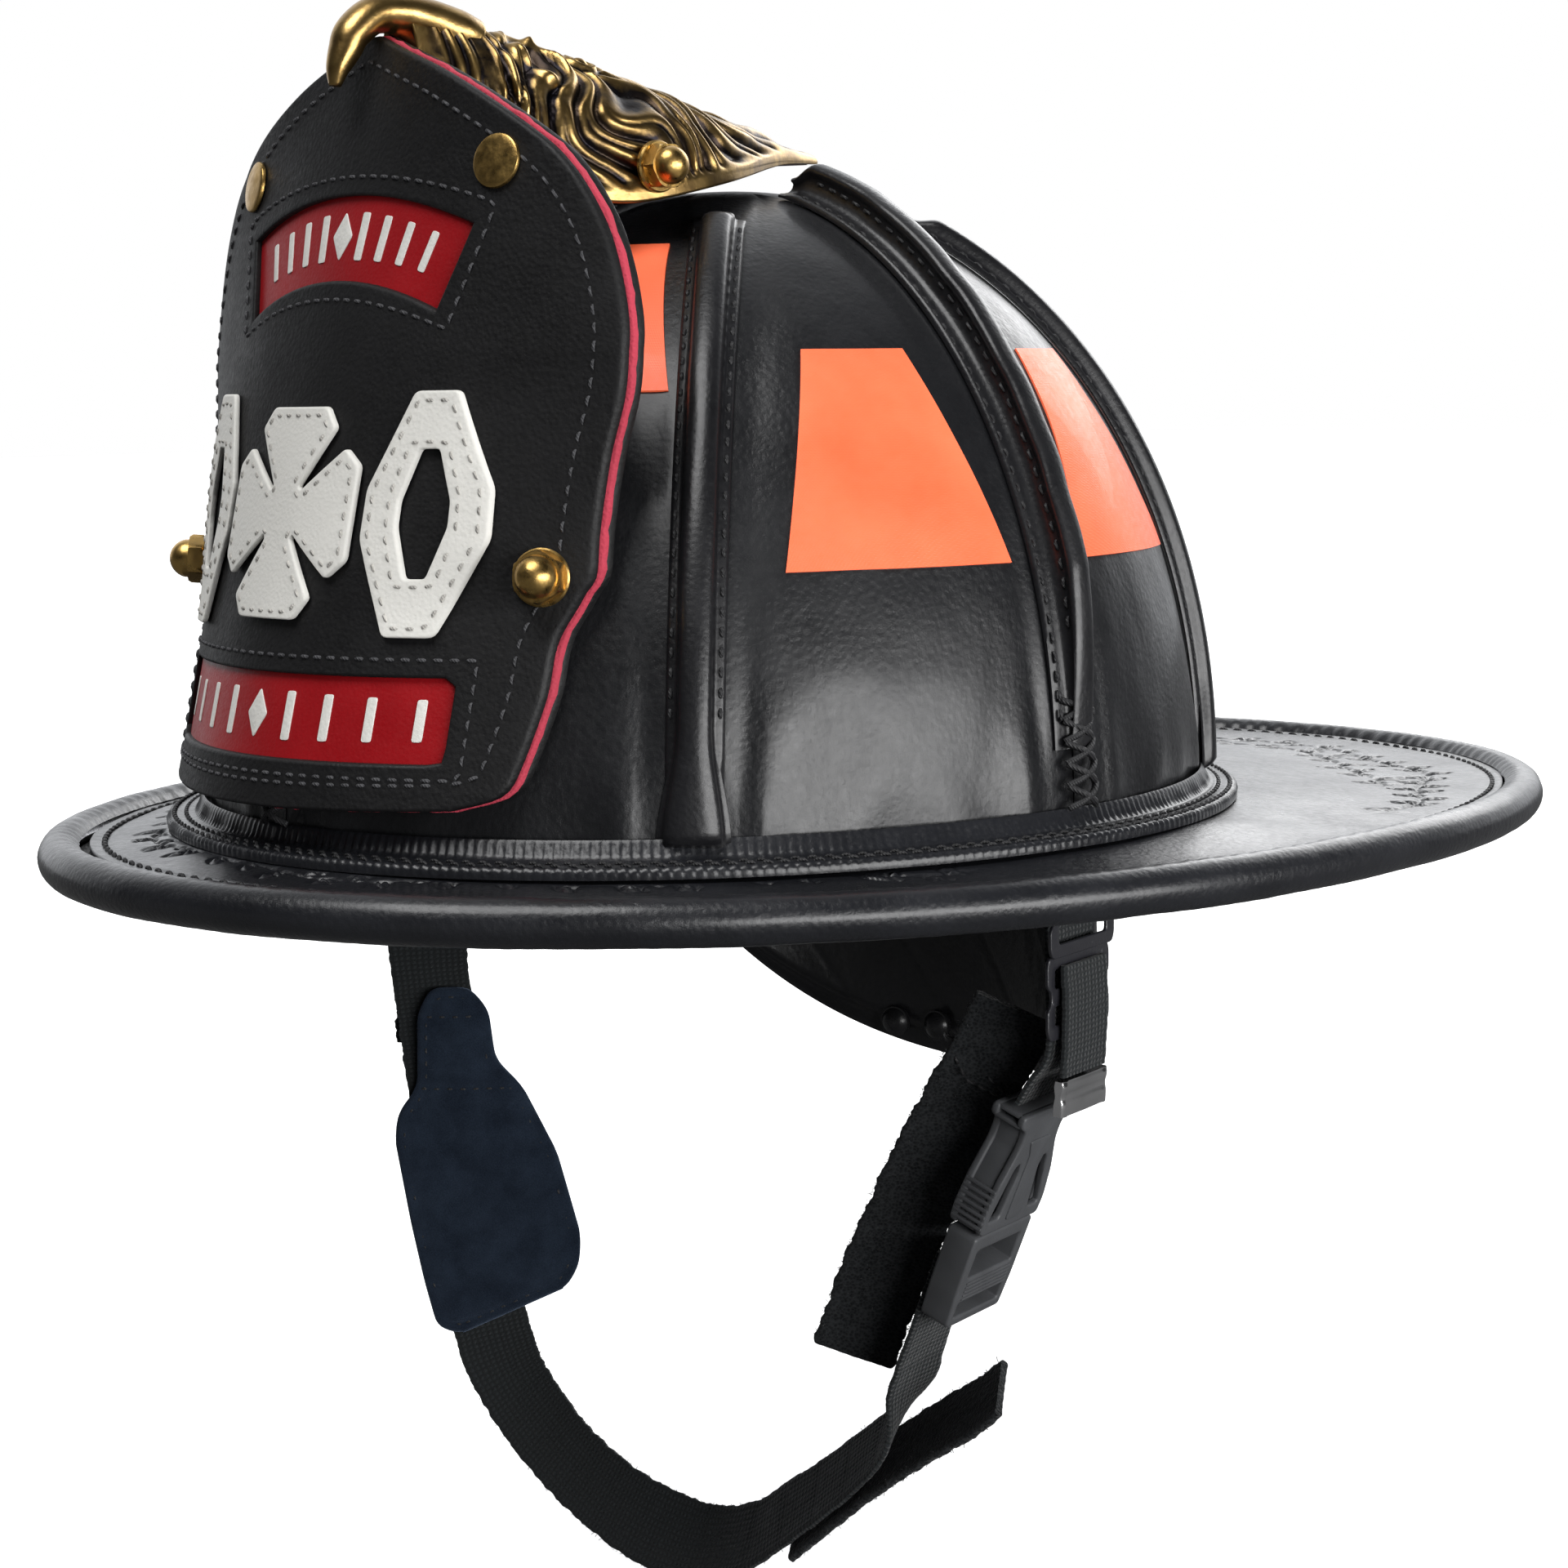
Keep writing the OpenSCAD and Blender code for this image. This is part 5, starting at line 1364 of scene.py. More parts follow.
def make_eagle():
    """Cast eagle that holds the shield: hooked smooth beak, ringed neck, eye and swept plumes."""
    along, around = 300, 241
    y = np.linspace(-88, 31, along)
    step = [np.interp(y, EAGLE[:, 0], EAGLE[:, k]) for k in range(1, 4)]
    kernel = np.exp(-0.5 * (np.arange(-14, 15) / 6.0) ** 2)
    kernel /= kernel.sum()
    top, skirt, half = (np.convolve(np.pad(s, 14, mode="reflect", reflect_type="odd"), kernel,
                                    "valid") for s in step)
    a = np.radians(np.linspace(-90, 90, around))
    x = half[:, None] * np.sin(a)[None, :]
    z = skirt[:, None] + (top - skirt)[:, None] * np.cos(a)[None, :] ** 0.85
    points = np.stack([x, y[:, None] + 0 * x, z], -1)
    seg = np.linalg.norm(np.diff(points, axis=1), axis=-1)
    run = np.concatenate([np.zeros((along, 1)), np.cumsum(seg, axis=1)], axis=1)
    middle = run[:, around // 2][:, None]
    v = np.abs(run - middle)
    reach = middle + 0 * v
    relief = eagle_relief(points[..., 1] + 0 * v, v, reach)
    normal = unit(np.cross(np.gradient(points, axis=0), np.gradient(points, axis=1)))
    normal *= np.sign(normal[..., 2:3] + 1e-9)
    normal[..., :] = np.where(np.abs(a)[None, :, None] > 1.5, unit(np.stack([x, 0 * x, 0.15 + 0 * x], -1)),
                              normal)
    outer = points + normal * (relief * np.clip(half / 16, 0.25, 1)[:, None])[..., None]
    inner = points - normal * np.minimum(2.2, half * 0.5)[:, None, None]
    inner[..., 2] = np.maximum(inner[..., 2], skirt[:, None])
    obj = sheet_object("eagle_casting", [(outer, inner)], crease=0)
    shade = np.zeros(2 * along * around, np.float32)
    # Polished high spots, dark hollows: height against its own neighbourhood
    soft = relief.copy()
    for _ in range(10):
        soft[1:-1, 1:-1] = (soft[:-2, 1:-1] + soft[2:, 1:-1] + soft[1:-1, :-2] + soft[1:-1, 2:]) / 4
    shade_map = np.clip(0.56 + 0.20 * relief + 0.35 * (relief - soft), 0, 1)
    plain = np.clip(1 - smooth((points[..., 1] + 87) / 4), 0, 1)
    flange = 1 - smooth((reach - v - 2.2) / 1.8)
    shade_map = np.maximum(shade_map, np.maximum(plain * 0.9, flange * 0.72))
    ring = beak_hollow(points[..., 1], v)
    shade_map = shade_map * mix(0.35, 1.0, smooth((ring - 0.6) / 0.4))
    shade[:along * around] = shade_map.ravel()
    shade[along * around:] = 0.15
    layer = obj.data.attributes.new("relief", "FLOAT", "POINT")
    layer.data.foreach_set("value", shade)
    piece(fix_normals(obj), "shell", "antique_brass", "eagle_holder")
    path = resample(BEAK, 0.45)
    d = unit(np.gradient(path[:, :2], axis=0))
    ang = np.linspace(0, 2 * PI, 44, endpoint=False)
    rings = []
    for k, (p, t) in enumerate(zip(path, d)):
        f = k / (len(path) - 1)
        wide = p[2] * (1.12 + 0.45 * smooth((f - 0.45) / 0.5))
        # The lower side is flatter, with a faint edge where the two halves of the beak meet
        body = np.where(np.sin(ang) > 0, 1.0, 0.86) + 0.05 * bell(np.sin(ang) + 0.25, 0.10)
        rings.append(np.stack([wide * np.cos(ang), p[0] + p[2] * body * np.sin(ang) * t[1],
                               p[1] - p[2] * body * np.sin(ang) * t[0]], -1))
    beak = fix_normals(ring_object("eagle_beak", rings, crease=0))
    tone = beak.data.attributes.new("relief", "FLOAT", "POINT")
    tone.data.foreach_set("value", np.full(len(beak.data.vertices), 0.95, np.float32))
    piece(beak, "shell", "antique_brass")


# ---------- Chin strap ----------

YAW = math.radians(11.67)
STRAP = Matrix.Translation((0, 1, 0)) @ Matrix.Rotation(YAW, 4, "Z")
FACING = (0.814, 0.58, 0)
FORE_AFT = (0, 1, 0)
LOOP_ROUTE = [(-95, 0, 7.5), (-95, 0, 4), (-95, 0, -6), (-95.5, -1, -22), (-95.5, -3, -40), (-94, -2, -60),
              (-92, -0.7, -80), (-89.4, 1.4, -100), (-87.8, 2.9, -120), (-85.5, 5, -139), (-80.5, 5.5,
                                                                                           -152.5),
              (-68, 4, -164.5), (-52.5, 2, -174), (-33, 0, -181), (-14, 0, -183.5), (2, 0, -178.5), (13, 0,
                                                                                                     -170.5),
              (24.5, 0, -161.5), (36.5, 0, -151), (45, 0, -142), (49.8, 0, -131.5), (53, 0, -122.3), (56.7,
                  0, -113), (64.1, 0, -94.4)]
LOOP_ACROSS = [FORE_AFT] * 3 + [(0.45, 0.89, 0)] + [FACING] * 6 + [
    (0.75, 0.45, 0.5), (0.5, 0.35, 0.8), (0.4, 0.3, 0.87), (0.25, 0.4, 0.88), (0, 0.65, 0.75), (-0.25, 0.75,
                                                                                                0.6),
    (-0.35, 0.75, 0.55), (-0.35, 0.78, 0.5), (-0.35, 0.8, 0.45), (-0.3, 0.9, 0.3)] + [FORE_AFT] * 4


def in_strap(points):
    """Points of the strap's own frame, in the row frame."""
    p = np.asarray(points, float)
    c, s = math.cos(YAW), math.sin(YAW)
    return np.stack([p[..., 0] * c - p[..., 1] * s, p[..., 0] * s + p[..., 1] * c + 1, p[..., 2]], -1)


def ribbon_object(name, route, across, width, thick, step=0.8, place=in_strap, cup=0.0, ripple=0.15, fray=0.0,
                  seed=1, ribs=0.0, pitch=1.5):
    """Woven band with rounded selvedges; ribs gives the height of its crosswise cords."""
    both = np.concatenate([np.asarray(route, float), unit(across) * 10], axis=1)
    fine = resample(both, step) if len(route) > 2 else even_steps(both, step)
    path, side = fine[:, :3], fine[:, 3:]
    along = unit(np.gradient(path, axis=0))
    side = unit(side - along * np.sum(side * along, axis=1, keepdims=True))
    face = np.cross(side, along)
    run = np.concatenate([[0], np.cumsum(np.linalg.norm(np.diff(path, axis=0), axis=1))])
    half_section = [(-0.5, 0.0), (-0.497, 0.28), (-0.475, 0.45), (-0.44, 0.5), (-0.40, 0.46), (-0.36, 0.42)]
    inner = [(s, 0.42 + 0.03 * math.cos(s * 40)) for s in np.linspace(-0.32, 0.32, 17)]
    top = half_section + inner + [(-s, h) for s, h in half_section[::-1]]
    section = np.array(top + [(-s, -h) for s, h in top[1:-1]])
    rings, uvs = [], []
    for p, n, f, r in zip(path, side, face, run):
        w = 1 + fray * 0.05 * value_noise(np.array([r / 2.0, seed, 0.0]), 1.0, seed)
        bulge = ripple * value_noise(np.array([r, seed * 7.0, 0.0]), 9.0, seed)
        cord = ribs * abs(math.sin(PI * r / pitch))
        s, h = section[:, 0] * w, section[:, 1]
        core = np.abs(section[:, 0]) < 0.45
        height = h * thick + np.sign(h) * core * (cord - ribs * 0.5) + cup * (1 - 4 * s * s) + bulge * (1 - 2 * np.abs(s))
        jag = fray * 0.35 * np.sign(s) * (np.abs(s) > 0.46) * value_noise(np.array([r * 2.1, seed * 3.0,
                                                                                    4.0]), 1.0, 9)
        rings.append(p + n * (s * width + jag)[:, None] + f * height[:, None])
        uvs.append(np.stack([section[:, 0] * width * MM, np.full(len(section), r * MM)], -1))
    return fix_normals(ring_object(name, place(np.array(rings)), uvs=np.concatenate(uvs), crease=50))


def fuzz_object(name, route, across, width, body, slot, count, length, seed, thick=2.4, edge_only=False):
    """Loose fibre ends that stand off a band's edges and faces."""
    rng = np.random.default_rng(seed)
    both = np.concatenate([np.asarray(route, float), unit(across) * 10], axis=1)
    fine = resample(both, 0.5) if len(route) > 2 else even_steps(both, 0.5)
    along = unit(np.gradient(fine[:, :3], axis=0))
    side = unit(fine[:, 3:] - along * np.sum(fine[:, 3:] * along, axis=1, keepdims=True))
    face = np.cross(side, along)
    strands = []
    for _ in range(count):
        i = rng.integers(2, len(fine) - 2)
        s = rng.choice((-1, 1)) * (1.0 if edge_only or rng.random() < 0.6 else rng.random())
        up = rng.choice((-1, 1))
        root = fine[i, :3] + side[i] * width / 2 * s * 0.98 + face[i] * up * thick * (0.1 + 0.36 * (abs(s) < 0.98))
        out = side[i] * s * (abs(s) > 0.98) * 1.2 + face[i] * up * (0.35 + 0.8 * (abs(s) < 0.98))
        out = unit(out + rng.normal(0, 0.45, 3))
        bend = unit(rng.normal(0, 1, 3))
        size = length * rng.uniform(0.4, 1.0)
        points = [root, root + out * size * 0.5, root + (out + bend * 0.5) * size * 0.9]
        strands.append(tube(np.array(points), 0.075, 3))
    obj = merge_tubes(name, [in_strap(s) for s in strands])
    return piece(obj, body, slot)


def edge_distance(points, loop):
    """Distance from 2-D points to a closed outline."""
    a, b = loop, np.roll(loop, -1, 0)
    best = np.full(len(points), 1e9)
    for p, q in zip(a, b):
        d = q - p
        t = np.clip(((points - p) @ d) / max(d @ d, 1e-9), 0, 1)
        best = np.minimum(best, np.linalg.norm(points - p - t[:, None] * d, axis=1))
    return best


PAD = [(-8, -50), (2, -50), (6.8, -56), (8.2, -69), (15, -76.5), (23.4, -94), (29, -116), (28.5, -124), (25,
    -130),
       (-3, -142), (-9, -140), (-12, -128), (-15.1, -112), (-18.5, -90), (-17.5, -83), (-12.2, -76), (-11.6,
                                                                                                      -57)]


def make_chin_pad():
    """Two suede leaves sewn together over the webbing, slightly stuffed and creased at the neck."""
    turn = math.radians(35.5)
    c, s = math.cos(turn), math.sin(turn)
    loop = resample(round_corners(PAD, 3.0, 3), 1.2, closed=True)[:-1]

    def warp(p):
        d = edge_distance(p[:, :2], loop)
        side = np.sign(p[:, 2] + 1e-6) * (np.abs(p[:, 2]) > 0.6)
        crown_up = 0.7 * smooth((d - 0.8) / 5.5) - 0.35
        neck = bell(p[:, 1] + 66, 9)
        pleat = 0.5 * neck * np.cos(p[:, 0] * 0.62) + 0.55 * bell(p[:, 1] + 76.5, 1.2) * -1 + 0.45 * bell(
            p[:, 1] + 57.5, 1.0) * -1
        seam = -0.38 * bell(d - 2.4, 0.55)
        rough = 0.55 * rough_noise(np.stack([p[:, 0], p[:, 1], 0 * d], -1), 17, 3, 44)
        z = p[:, 2] + side * (crown_up + pleat * 0.8 + seam) + rough * 0.8 * smooth(d / 5)
        z = z + 1.3 * np.sin((p[:, 1] + 50) / 92 * PI * 1.1) * 0.5
        # flat plate (x, y, height) stands up: y becomes z, height faces forward
        flat = np.stack([p[:, 0] + 3.3, -1.7 - 1.6 - z * -1.0 * -1.0, p[:, 1]], -1)
        x = flat[:, 0] * c - flat[:, 1] * s - 91
        y = flat[:, 0] * s + flat[:, 1] * c
        return in_strap(np.stack([x, y, flat[:, 2]], -1))

    obj = plate_object("suede_chin_pad", [loop], 3.2, 1.25, warp, 2.2, crease=60)
    piece(obj, "chin_strap", "suede", "chin_pad")
    rows = []
    ring = clean_inset(loop[::-1], 2.4)
    for height in (1.75, -1.75):
        flat = np.concatenate([ring, np.full((len(ring), 1), height)], 1)
        up = np.concatenate([ring, np.full((len(ring), 1), height * 2)], 1)
        rows.append((warp(flat), unit(warp(up) - warp(flat))))
        for level, low, high in ((-57.5, -10, 5.4), (-76.5, -12, 13)):
            x = np.linspace(low, high, 60)
            flat = np.stack([x, 0 * x + level, 0 * x + height], -1)
            up = np.stack([x, 0 * x + level, 0 * x + height * 2], -1)
            rows.append((warp(flat), unit(warp(up) - warp(flat))))
    piece(stitch_object("suede_pad_stitches", rows, stitch=2.2, gap=1.2, radius=0.3, lift=-0.35),
          "chin_strap", "suede",
          paint=BLACK_THREAD)


def box_stitches(name, centre, along, across, length, width, face, body):
    """Box of stitches sewn through a folded band."""
    centre, along, across, face = (np.asarray(v, float) for v in (centre, unit(along), unit(across),
                                                                  unit(face)))
    corners = [(-1, -1), (1, -1), (1, 1), (-1, 1), (-1, -1), (1, 1)]
    line = np.array([centre + along * a * length / 2 + across * b * width / 2 for a, b in corners])
    fine = even_steps(line, 0.5)
    obj = stitch_object(name, [(in_strap(fine), np.tile(in_strap(face) - in_strap(np.zeros(3)), (len(fine),
                                                                                                 1)))],
                        stitch=2.0, gap=0.9, radius=0.3, lift=0.05)
    return piece(obj, body, "webbing", paint=BLACK_THREAD)


def flat_plate(name, loops, thick, bevel, matrix, step=50.0):
    """Bevelled plate from outlines in XY, placed by a matrix in millimetres."""
    turn = np.array(matrix)

    def warp(p):
        return p @ turn[:3, :3].T + turn[:3, 3]
    return plate_object(name, loops, thick, bevel, warp, step, crease=30)


def triglide_loops(w, h, slot_w):
    """Three-bar slide: rounded plate whose sides are notched at the middle, with two slots."""
    outer = [(w / 2 - 1, -h / 2), (w / 2, -h / 2 + 2), (w / 2, -2.6), (w / 2 - 1.7, -1.2), (w / 2 - 1.7,
        1.2), (w / 2, 2.6),
             (w / 2, h / 2 - 2), (w / 2 - 1, h / 2), (-w / 2 + 1, h / 2), (-w / 2, h / 2 - 2), (-w / 2, 2.6),
             (-w / 2 + 1.7, 1.2), (-w / 2 + 1.7, -1.2), (-w / 2, -2.6), (-w / 2, -h / 2 + 2), (-w / 2 + 1,
                                                                                               -h / 2)]
    slots = []
    for s in (-1, 1):
        mid, half = s * h / 4.6, h / 12 + 0.6
        slots.append(round_corners([(-slot_w / 2, mid - half), (slot_w / 2, mid - half), (slot_w / 2,
                                                                                          mid + half),
                                    (-slot_w / 2, mid + half)], 0.9, 3))
    return [round_corners(outer, 1.8, 4)] + slots


def make_straps():
    """All woven parts of the strap, with their ends, tapes and fibres."""
    piece(ribbon_object("loop_webbing", LOOP_ROUTE, LOOP_ACROSS, 20, 1.5, ripple=0.35, ribs=0.22, seed=2,
                        fray=0.5),
          "chin_strap", "webbing", "chin_webbing")
    tail = [(16, 0, -174.5), (27.8, 0, -164), (39.8, 0, -153.6), (51, 0, -145), (61, 0, -137.8),
            (68.3, 0, -132.8), (74.6, 0, -127.2)]
    over = [(-0.35, 0.8, 0.45)] * len(tail)
    piece(ribbon_object("loop_tape_tail", tail, over, 18.2, 2.1, ripple=0.5, fray=0.7, seed=5), "chin_strap",
          "hook_tape", "loop_tail")
    fuzz_object("loop_tape_fibres", tail, over, 18.2, "chin_strap", "hook_tape", 420, 1.3, 3, thick=2.1)
    end = [(-101, 4, -22), (-101.5, 4, -42), (-102, 4, -67)]
    piece(ribbon_object("folded_webbing_end", end, [FACING] * 3, 18, 2.3, ripple=0.3, ribs=0.25, fray=0.8,
                        seed=7),
          "chin_strap", "webbing", "folded_end")
    side = [(95, 0, 7.5), (95, 0, 3), (93, 0, -7), (93, 0, -25), (93, 0, -44), (88.8, 0, -51), (85, 0, -57)]
    piece(ribbon_object("side_webbing_band", side, [FORE_AFT] * 7, 20, 1.5, ripple=0.1, ribs=0.22, fray=0.4,
                        seed=9),
          "chin_strap", "webbing", "side_webbing")
    tail2 = [(96.6, 0, -25), (97, 0, -33), (96.8, 0, -42), (96.2, 0, -50)]
    piece(ribbon_object("side_webbing_tail", tail2, [FORE_AFT] * 4, 19, 1.5, ripple=0.1, ribs=0.22, fray=0.4,
                        seed=11),
          "chin_strap", "webbing", "tail_webbing")
    flap = [(79.4, 0, -38), (73.4, 0, -48.5), (66.4, 0, -60), (58.9, 0, -73), (51.9, 0, -86), (43.9, 0, -102),
            (33.5, 0, -126.5)]
    lean = [(0.72, 0.5, -0.47)] * len(flap)
    piece(ribbon_object("hook_tape_flap", flap, lean, 20, 2.1, ripple=0.4, fray=0.8, seed=13), "flap",
          "hook_tape", "hook_flap")
    fuzz_object("hook_tape_fibres", flap, lean, 20, "flap", "hook_tape", 560, 1.1, 6, thick=2.1)
    fuzz_object("webbing_fibres", LOOP_ROUTE[9:], LOOP_ACROSS[9:], 20, "chin_strap", "webbing", 260, 0.9, 8,
                thick=1.6, edge_only=True)
    box_stitches("flap_box_stitches", (70.2, -1.2, -52.6), (7, 0, -11.5), (0.72, 0.5, -0.47), 12, 13,
                 np.cross((7, 0, -11.5), (0.72, 0.5, -0.47)) * -1, "flap")


def make_slides():
    """Painted steel slides and the crimped bright strap tip."""
    up = STRAP @ Matrix.Translation((95.7 + 0.45, 0, -14)) @ Matrix.Rotation(PI / 2, 4,
                                                                             "Z") @ Matrix.Rotation(
        PI / 2, 4, "X")
    piece(flat_plate("slide_upper", triglide_loops(28, 18, 21), 0.9, 0.28, up), "chin_strap", "black_steel",
          "triglide_upper")
    low = STRAP @ Matrix.Translation((94.6 + 0.45, 0, -32)) @ Matrix.Rotation(PI / 2, 4,
                                                                              "Z") @ Matrix.Rotation(
        PI / 2, 4, "X")
    piece(flat_plate("slide_lower", triglide_loops(27, 19, 21), 0.9, 0.28, low), "strap_slide", "black_steel",
          "triglide_lower")
    # Crimped tip: a folded strip with a pressed channel and teeth along its upper edge
    rings = []
    for z in np.linspace(-8.4, -0.4, 18):
        f = (z + 8.4) / 8.0
        pinch = 1.4 - 0.42 * bell(f - 0.55, 0.16) - 0.25 * smooth((f - 0.85) / 0.15)
        ring = []
        for k in range(64):
            a = 2 * PI * k / 64
            cx, cy = math.cos(a), math.sin(a)
            y = 10 * np.sign(cy) * abs(cy) ** 0.14
            x = pinch * np.sign(cx) * abs(cx) ** 0.28 * (1 + 0.12 * bell(abs(y) - 8.6,
                                                                         0.8) - 0.1 * bell(abs(y) - 7, 0.7))
            if f > 0.9:
                x *= 1 - 0.12 * (math.sin(y * 2.6) > 0)
            ring.append((x, y, z))
        rings.append(ring)
    rings = np.array(rings)
    c, s = math.cos(math.radians(4)), math.sin(math.radians(4))
    x, y, z = rings[..., 0], rings[..., 1], rings[..., 2]
    rings = np.stack([x * c + z * s + 95.9, y, -x * s + z * c - 50.4], -1)
    piece(fix_normals(ring_object("strap_tip_crimp", in_strap(rings), crease=35)), "chin_strap",
          "chromed_steel",
          "strap_tip")


BUCKLE = STRAP @ Matrix.Translation((72.5, 0, -87)) @ Matrix.Rotation(math.radians(21.8), 4, "Y")
# Plates lie in the buckle's YZ plane with their thickness along X
UPRIGHT = BUCKLE @ Matrix.Rotation(PI / 2, 4, "Z") @ Matrix.Rotation(PI / 2, 4, "X")


def make_buckle():
    """Side-release buckle: socket of two faces with long windows, plug with ladder bar, two prongs."""
    outer = [(-12.5, 0.2), (12.5, 0.2), (13, 5), (11.5, 13), (8, 22), (8, 26.5), (11, 28), (11, 31), (-11,
                                                                                                      31),
             (-11, 28), (-8, 26.5), (-8, 22), (-11.5, 13), (-13, 5)]
    outline = round_corners(outer, 1.6, 4)
    windows = [round_corners([(s * 10.9, 3.6), (s * 6.2, 3.6), (s * 4.3, 15), (s * 5.2, 18), (s * 7.0,
        17)][::s], 1.1, 3)
               for s in (-1, 1)]
    body = []
    for side, thick in ((1, 1.9), (-1, 1.9)):
        place = UPRIGHT @ Matrix.Translation((0, 0, side * 3.55))
        body.append(flat_plate("face", [outline] + windows, thick, 0.6, place, 3.0))
    # Walls between the faces, thinner than the outline so that a shadow line runs round
    for s in (-1, 1):
        wall = [(s * 11.9, 0.6), (s * 12.3, 5), (s * 11.0, 12.6), (s * 7.6, 21.4), (s * 7.6, 27), (s * 3.0,
                                                                                                   27),
                (s * 3.0, 20.4), (s * 9.4, 12), (s * 10.3, 5), (s * 10.3, 0.6)]
        body.append(flat_plate("wall", [round_corners(wall[::s], 0.5, 2)], 5.8, 0.35, UPRIGHT, 3.0))
    bridge = [(-7.5, 20.2), (7.5, 20.2), (7.5, 26.0), (-7.5, 26.0)]
    body.append(flat_plate("bridge", [round_corners(bridge, 0.5, 2)], 5.8, 0.35, UPRIGHT, 3.0))
    for z in (28.1, 30.3):
        bar = [(-10.6, z - 0.55), (10.6, z - 0.55), (10.6, z + 0.55), (-10.6, z + 0.55)]
        body.append(flat_plate("bar", [round_corners(bar, 0.4, 2)], 7.2, 0.35, UPRIGHT, 3.0))
    # Raised centre panel on the outer face, its edges and a row of grip ribs on each flank
    centre = [(-3.2, 2.4), (3.2, 2.4), (2.6, 19.4), (4.6, 23.6), (-4.6, 23.6), (-2.6, 19.4)]
    body.append(flat_plate("panel", [round_corners(centre, 1.2, 3)], 0.7, 0.3,
                           UPRIGHT @ Matrix.Translation((0, 0, 4.5)), 3.0))
    for s in (-1, 1):
        for k in range(7):
            z = 2.2 + 1.55 * k
            reach = np.interp(z, [0.2, 5, 13], [12.5, 13, 11.5])
            rib = [(s * (reach - 0.6), z - 0.42), (s * (reach + 0.32), z - 0.42), (s * (reach + 0.32),
                                                                                   z + 0.42),
                   (s * (reach - 0.6), z + 0.42)]
            body.append(flat_plate("rib", [round_corners(rib[::s], 0.25, 2)], 8.4, 0.25, UPRIGHT, 3.0))
    for b in body:
        b.data.materials.append(PAINTS["buckle_plastic"])
    piece(join("buckle_socket_body", body), "chin_strap", "buckle_plastic", "buckle_socket")
    plug = []
    outline = round_corners([(-12.5, -0.6), (12.5, -0.6), (12.3, -16), (11.4, -25), (-11.4, -25), (-12.3,
        -16)], 1.4, 4)
    upper = round_corners([(-9.4, -12), (9.4, -12), (9.4, -4.6), (-9.4, -4.6)], 0.8, 3)
    lower = round_corners([(-9.6, -22.6), (9.6, -22.6), (9.6, -18.6), (-9.6, -18.6)], 0.7, 3)
    plug.append(flat_plate("frame", [outline, upper, lower], 7.8, 0.7, UPRIGHT, 3.0))
    for k in range(5):
        z = -13.3 - 1.05 * k
        ladder = [(-9.4, z - 0.3), (9.4, z - 0.3), (9.4, z + 0.3), (-9.4, z + 0.3)]
        plug.append(flat_plate("ladder", [round_corners(ladder, 0.25, 2)], 8.5, 0.22, UPRIGHT, 3.0))
    tongue = [(-2.3, -0.9), (2.3, -0.9), (2.3, 14.6), (1.5, 16.2), (-1.5, 16.2), (-2.3, 14.6)]
    plug.append(flat_plate("tongue", [round_corners(tongue, 0.5, 2)], 3.5, 0.4, UPRIGHT, 3.0))
    for b in plug:
        b.data.materials.append(PAINTS["buckle_plastic"])
    piece(join("buckle_plug_body", plug), "plug", "buckle_plastic", "buckle_plug")
    for s, name, body_name in ((-1, "prong_front", "front_prong"), (1, "prong_rear", "rear_prong")):
        loop = [(s * 4.6, -0.3), (s * 8.4, -0.3), (s * 9.4, 5), (s * 9.4, 11), (s * 6.6, 16.5), (s * 4.6,
            16.5), (s * 6, 8)]
        obj = flat_plate("spring_" + name, [round_corners(loop[::s], 0.8, 3)], 3.9, 0.5, UPRIGHT, 3.0)
        piece(obj, body_name, "buckle_plastic", name)


# ---------- Inside ----------

def make_dome(name, node, slot, outer, inner, low, rows=70, cols=180, wobble=0.0):
    az = np.linspace(0, 360, cols, endpoint=False)[None, :]
    u = np.linspace(low, 84, rows)[:, None]
    rough = wobble * rough_noise(crown(az, u, -inner), 12, 3, 17)
    obj = sheet_object(name, [(crown(az, u, -outer + 0 * az), crown(az, u, -inner + rough))], wrap=True)
    piece(fix_normals(obj), "shell", slot, node)


def oval(a, off, z, half_len=98.0, half_wid=77.0):
    return np.stack([(half_wid + off) * np.sin(a), -(half_len + off) * np.cos(a), z + 0 * a], -1)


def make_brow_pad():
    """Leather-faced sweat pad with stitched channels and a pressed line along its middle."""
    a = np.radians(np.linspace(-75, 75, 380))[None, :]
    f = np.linspace(0, 1, 48)[:, None]
    z = mix(-13.0, 15.0, f) + 0 * a
    run = a * 88
    channel = np.abs(np.sin(run * PI / 17))
    belly = (1 - (2 * f - 1) ** 6) * (0.35 + 0.65 * channel ** 0.45)
    rough = rough_noise(np.stack([run + 0 * f, z, 0 * z], -1), 7, 3, 23)
    thick = 3.2 * belly + 0.3 * rough * belly
    seam = 0.7 * bell((f - 0.5), 0.03) * 0.6
    outer = oval(a + 0 * f, -2.1 + 0 * f, z)
    inner = oval(a + 0 * f, -2.3 - np.clip(thick - seam, 0.25, 3.5), z)
    obj = fix_normals(sheet_object("brow_pad_leather", [(outer, inner)]))
    piece(obj, "shell", "brow_leather", "brow_pad")
    rows = []
    aa = np.radians(np.linspace(-73, 73, 500))
    for level in (-11.4, 13.4):
        p = oval(aa, -2.9, level)
        rows.append((p, -unit(p * [1, 1, 0])))
    piece(stitch_object("brow_pad_stitches", rows, stitch=2.4, gap=1.3, radius=0.32, lift=0.2), "shell",
          "brow_leather", paint=BLACK_THREAD)


NAPE_TURN = 63.0
NAPE_RADIUS = 69.0


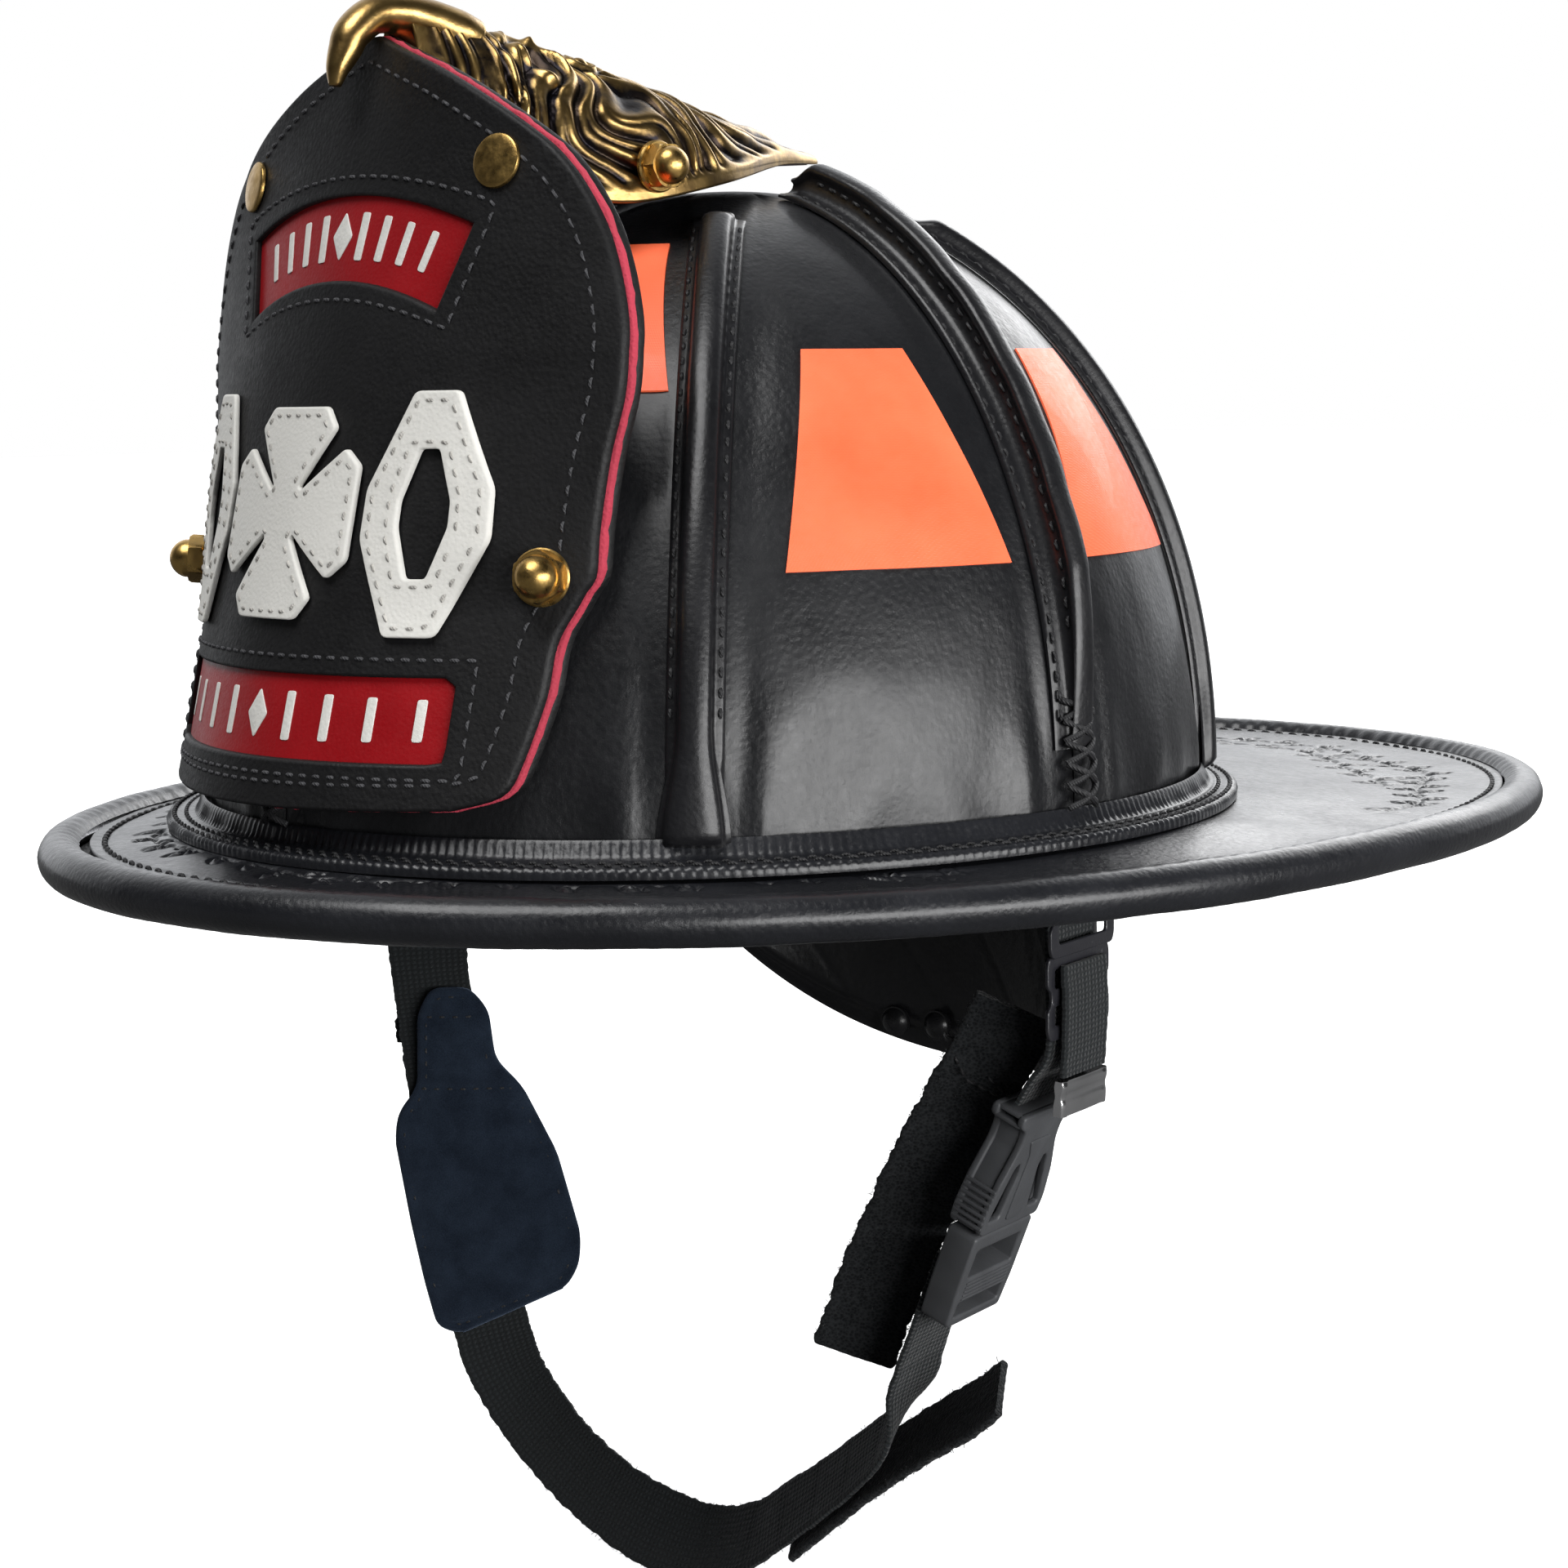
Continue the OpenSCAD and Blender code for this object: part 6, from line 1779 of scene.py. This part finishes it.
def make_nape_pad():
    """Padded leather flap behind the head: soft belly, sewn border and drawn creases."""
    a = np.radians(np.linspace(NAPE_TURN, -NAPE_TURN, 220))[None, :]
    f = np.linspace(0, 1, 80)[:, None]
    deg = np.degrees(np.abs(a))
    low = -75 + 32 * (deg / NAPE_TURN) ** 2.4
    z = mix(low, -16.0, f)
    edge = np.minimum(np.minimum(f * 0.9, (1 - f) * 1.3) * 50 * np.ones_like(a),
                      np.radians(NAPE_TURN - deg) * NAPE_RADIUS + 0 * f)
    fill = 0.16 + 0.84 * smooth(edge / 8)
    run = a * NAPE_RADIUS
    flat = np.stack([run + 0 * f, z, 0 * z], -1)
    crease = 0.8 * rough_noise(flat * [1, 0.55, 1], 15, 4, 29) + 0.7 * bell(np.sin((run + 0.7 * z) / 9.0),
                                                                            0.16) * -1
    pull = -1.3 * (bell(run - 14, 3.4) + bell(run + 14, 3.4) + bell(run - 26, 3.4) + bell(run + 26,
        3.4)) * bell(z + 66, 3.4)
    seam = -0.5 * bell(edge - 4.5, 0.8)
    r_out = NAPE_RADIUS + 3.9 * fill + (crease * 0.55 + seam) * smooth(edge / 5)
    r_in = NAPE_RADIUS - 3.9 * fill - (crease * 0.4 + seam) * smooth(edge / 5) - pull * 0.5

    def place(r):
        return np.stack([r * np.sin(a), 23 + r * np.cos(a), z], -1)
    obj = fix_normals(sheet_object("nape_pad_leather", [(place(r_out), place(r_in))]))
    piece(obj, "shell", "nape_leather", "nape_pad")


def make_crown_bands():
    """Three woven bands over the head that cross one above another."""
    objects = []
    for k in range(3):
        az = math.radians(30 + 60 * k)
        out = (74 * math.sin(az), -94 * math.cos(az))
        route = []
        for i in range(15):
            a = math.radians(mix(-78, 78, i / 14))
            z = 22 + (80 + 2.2 * k - 22 + 14) * math.cos(a) - 14 * math.cos(math.radians(78))
            route.append((out[0] * math.sin(a), out[1] * math.sin(a), z))
        across = [(-math.cos(az), -math.sin(az), 0)] * 15
        objects.append(ribbon_object("band", route, across, 18, 1.35, step=1.2, place=np.asarray, ripple=0.12,
                                     ribs=0.15, seed=20 + k))
    for o in objects:
        o.data.materials.append(PAINTS["webbing"])
    piece(join("crown_bands", objects), "shell", "webbing", "crown_straps")


make_shield()
make_fittings()
make_eagle()
make_straps()
make_chin_pad()
make_slides()
make_buckle()
make_dome("impact_cap_shell", "impact_cap", "impact_plastic", 6.0, 8.4, 3.4)
make_dome("foam_liner_shell", "foam_liner", "liner_foam", 9.0, 19.4, 4, wobble=0.25)
make_crown_bands()
make_brow_pad()
make_nape_pad()


# ---------- CAD nodes that keep their shape ----------

def paint_cad():
    """Gives each CAD node that still shows its procedural material."""
    for part in frame["record"]["subparts"]:
        node = frame["nodes"][part["node"]]
        node.data.materials.clear()
        node.data.materials.append(PAINTS[part["material_slot"]])


paint_cad()
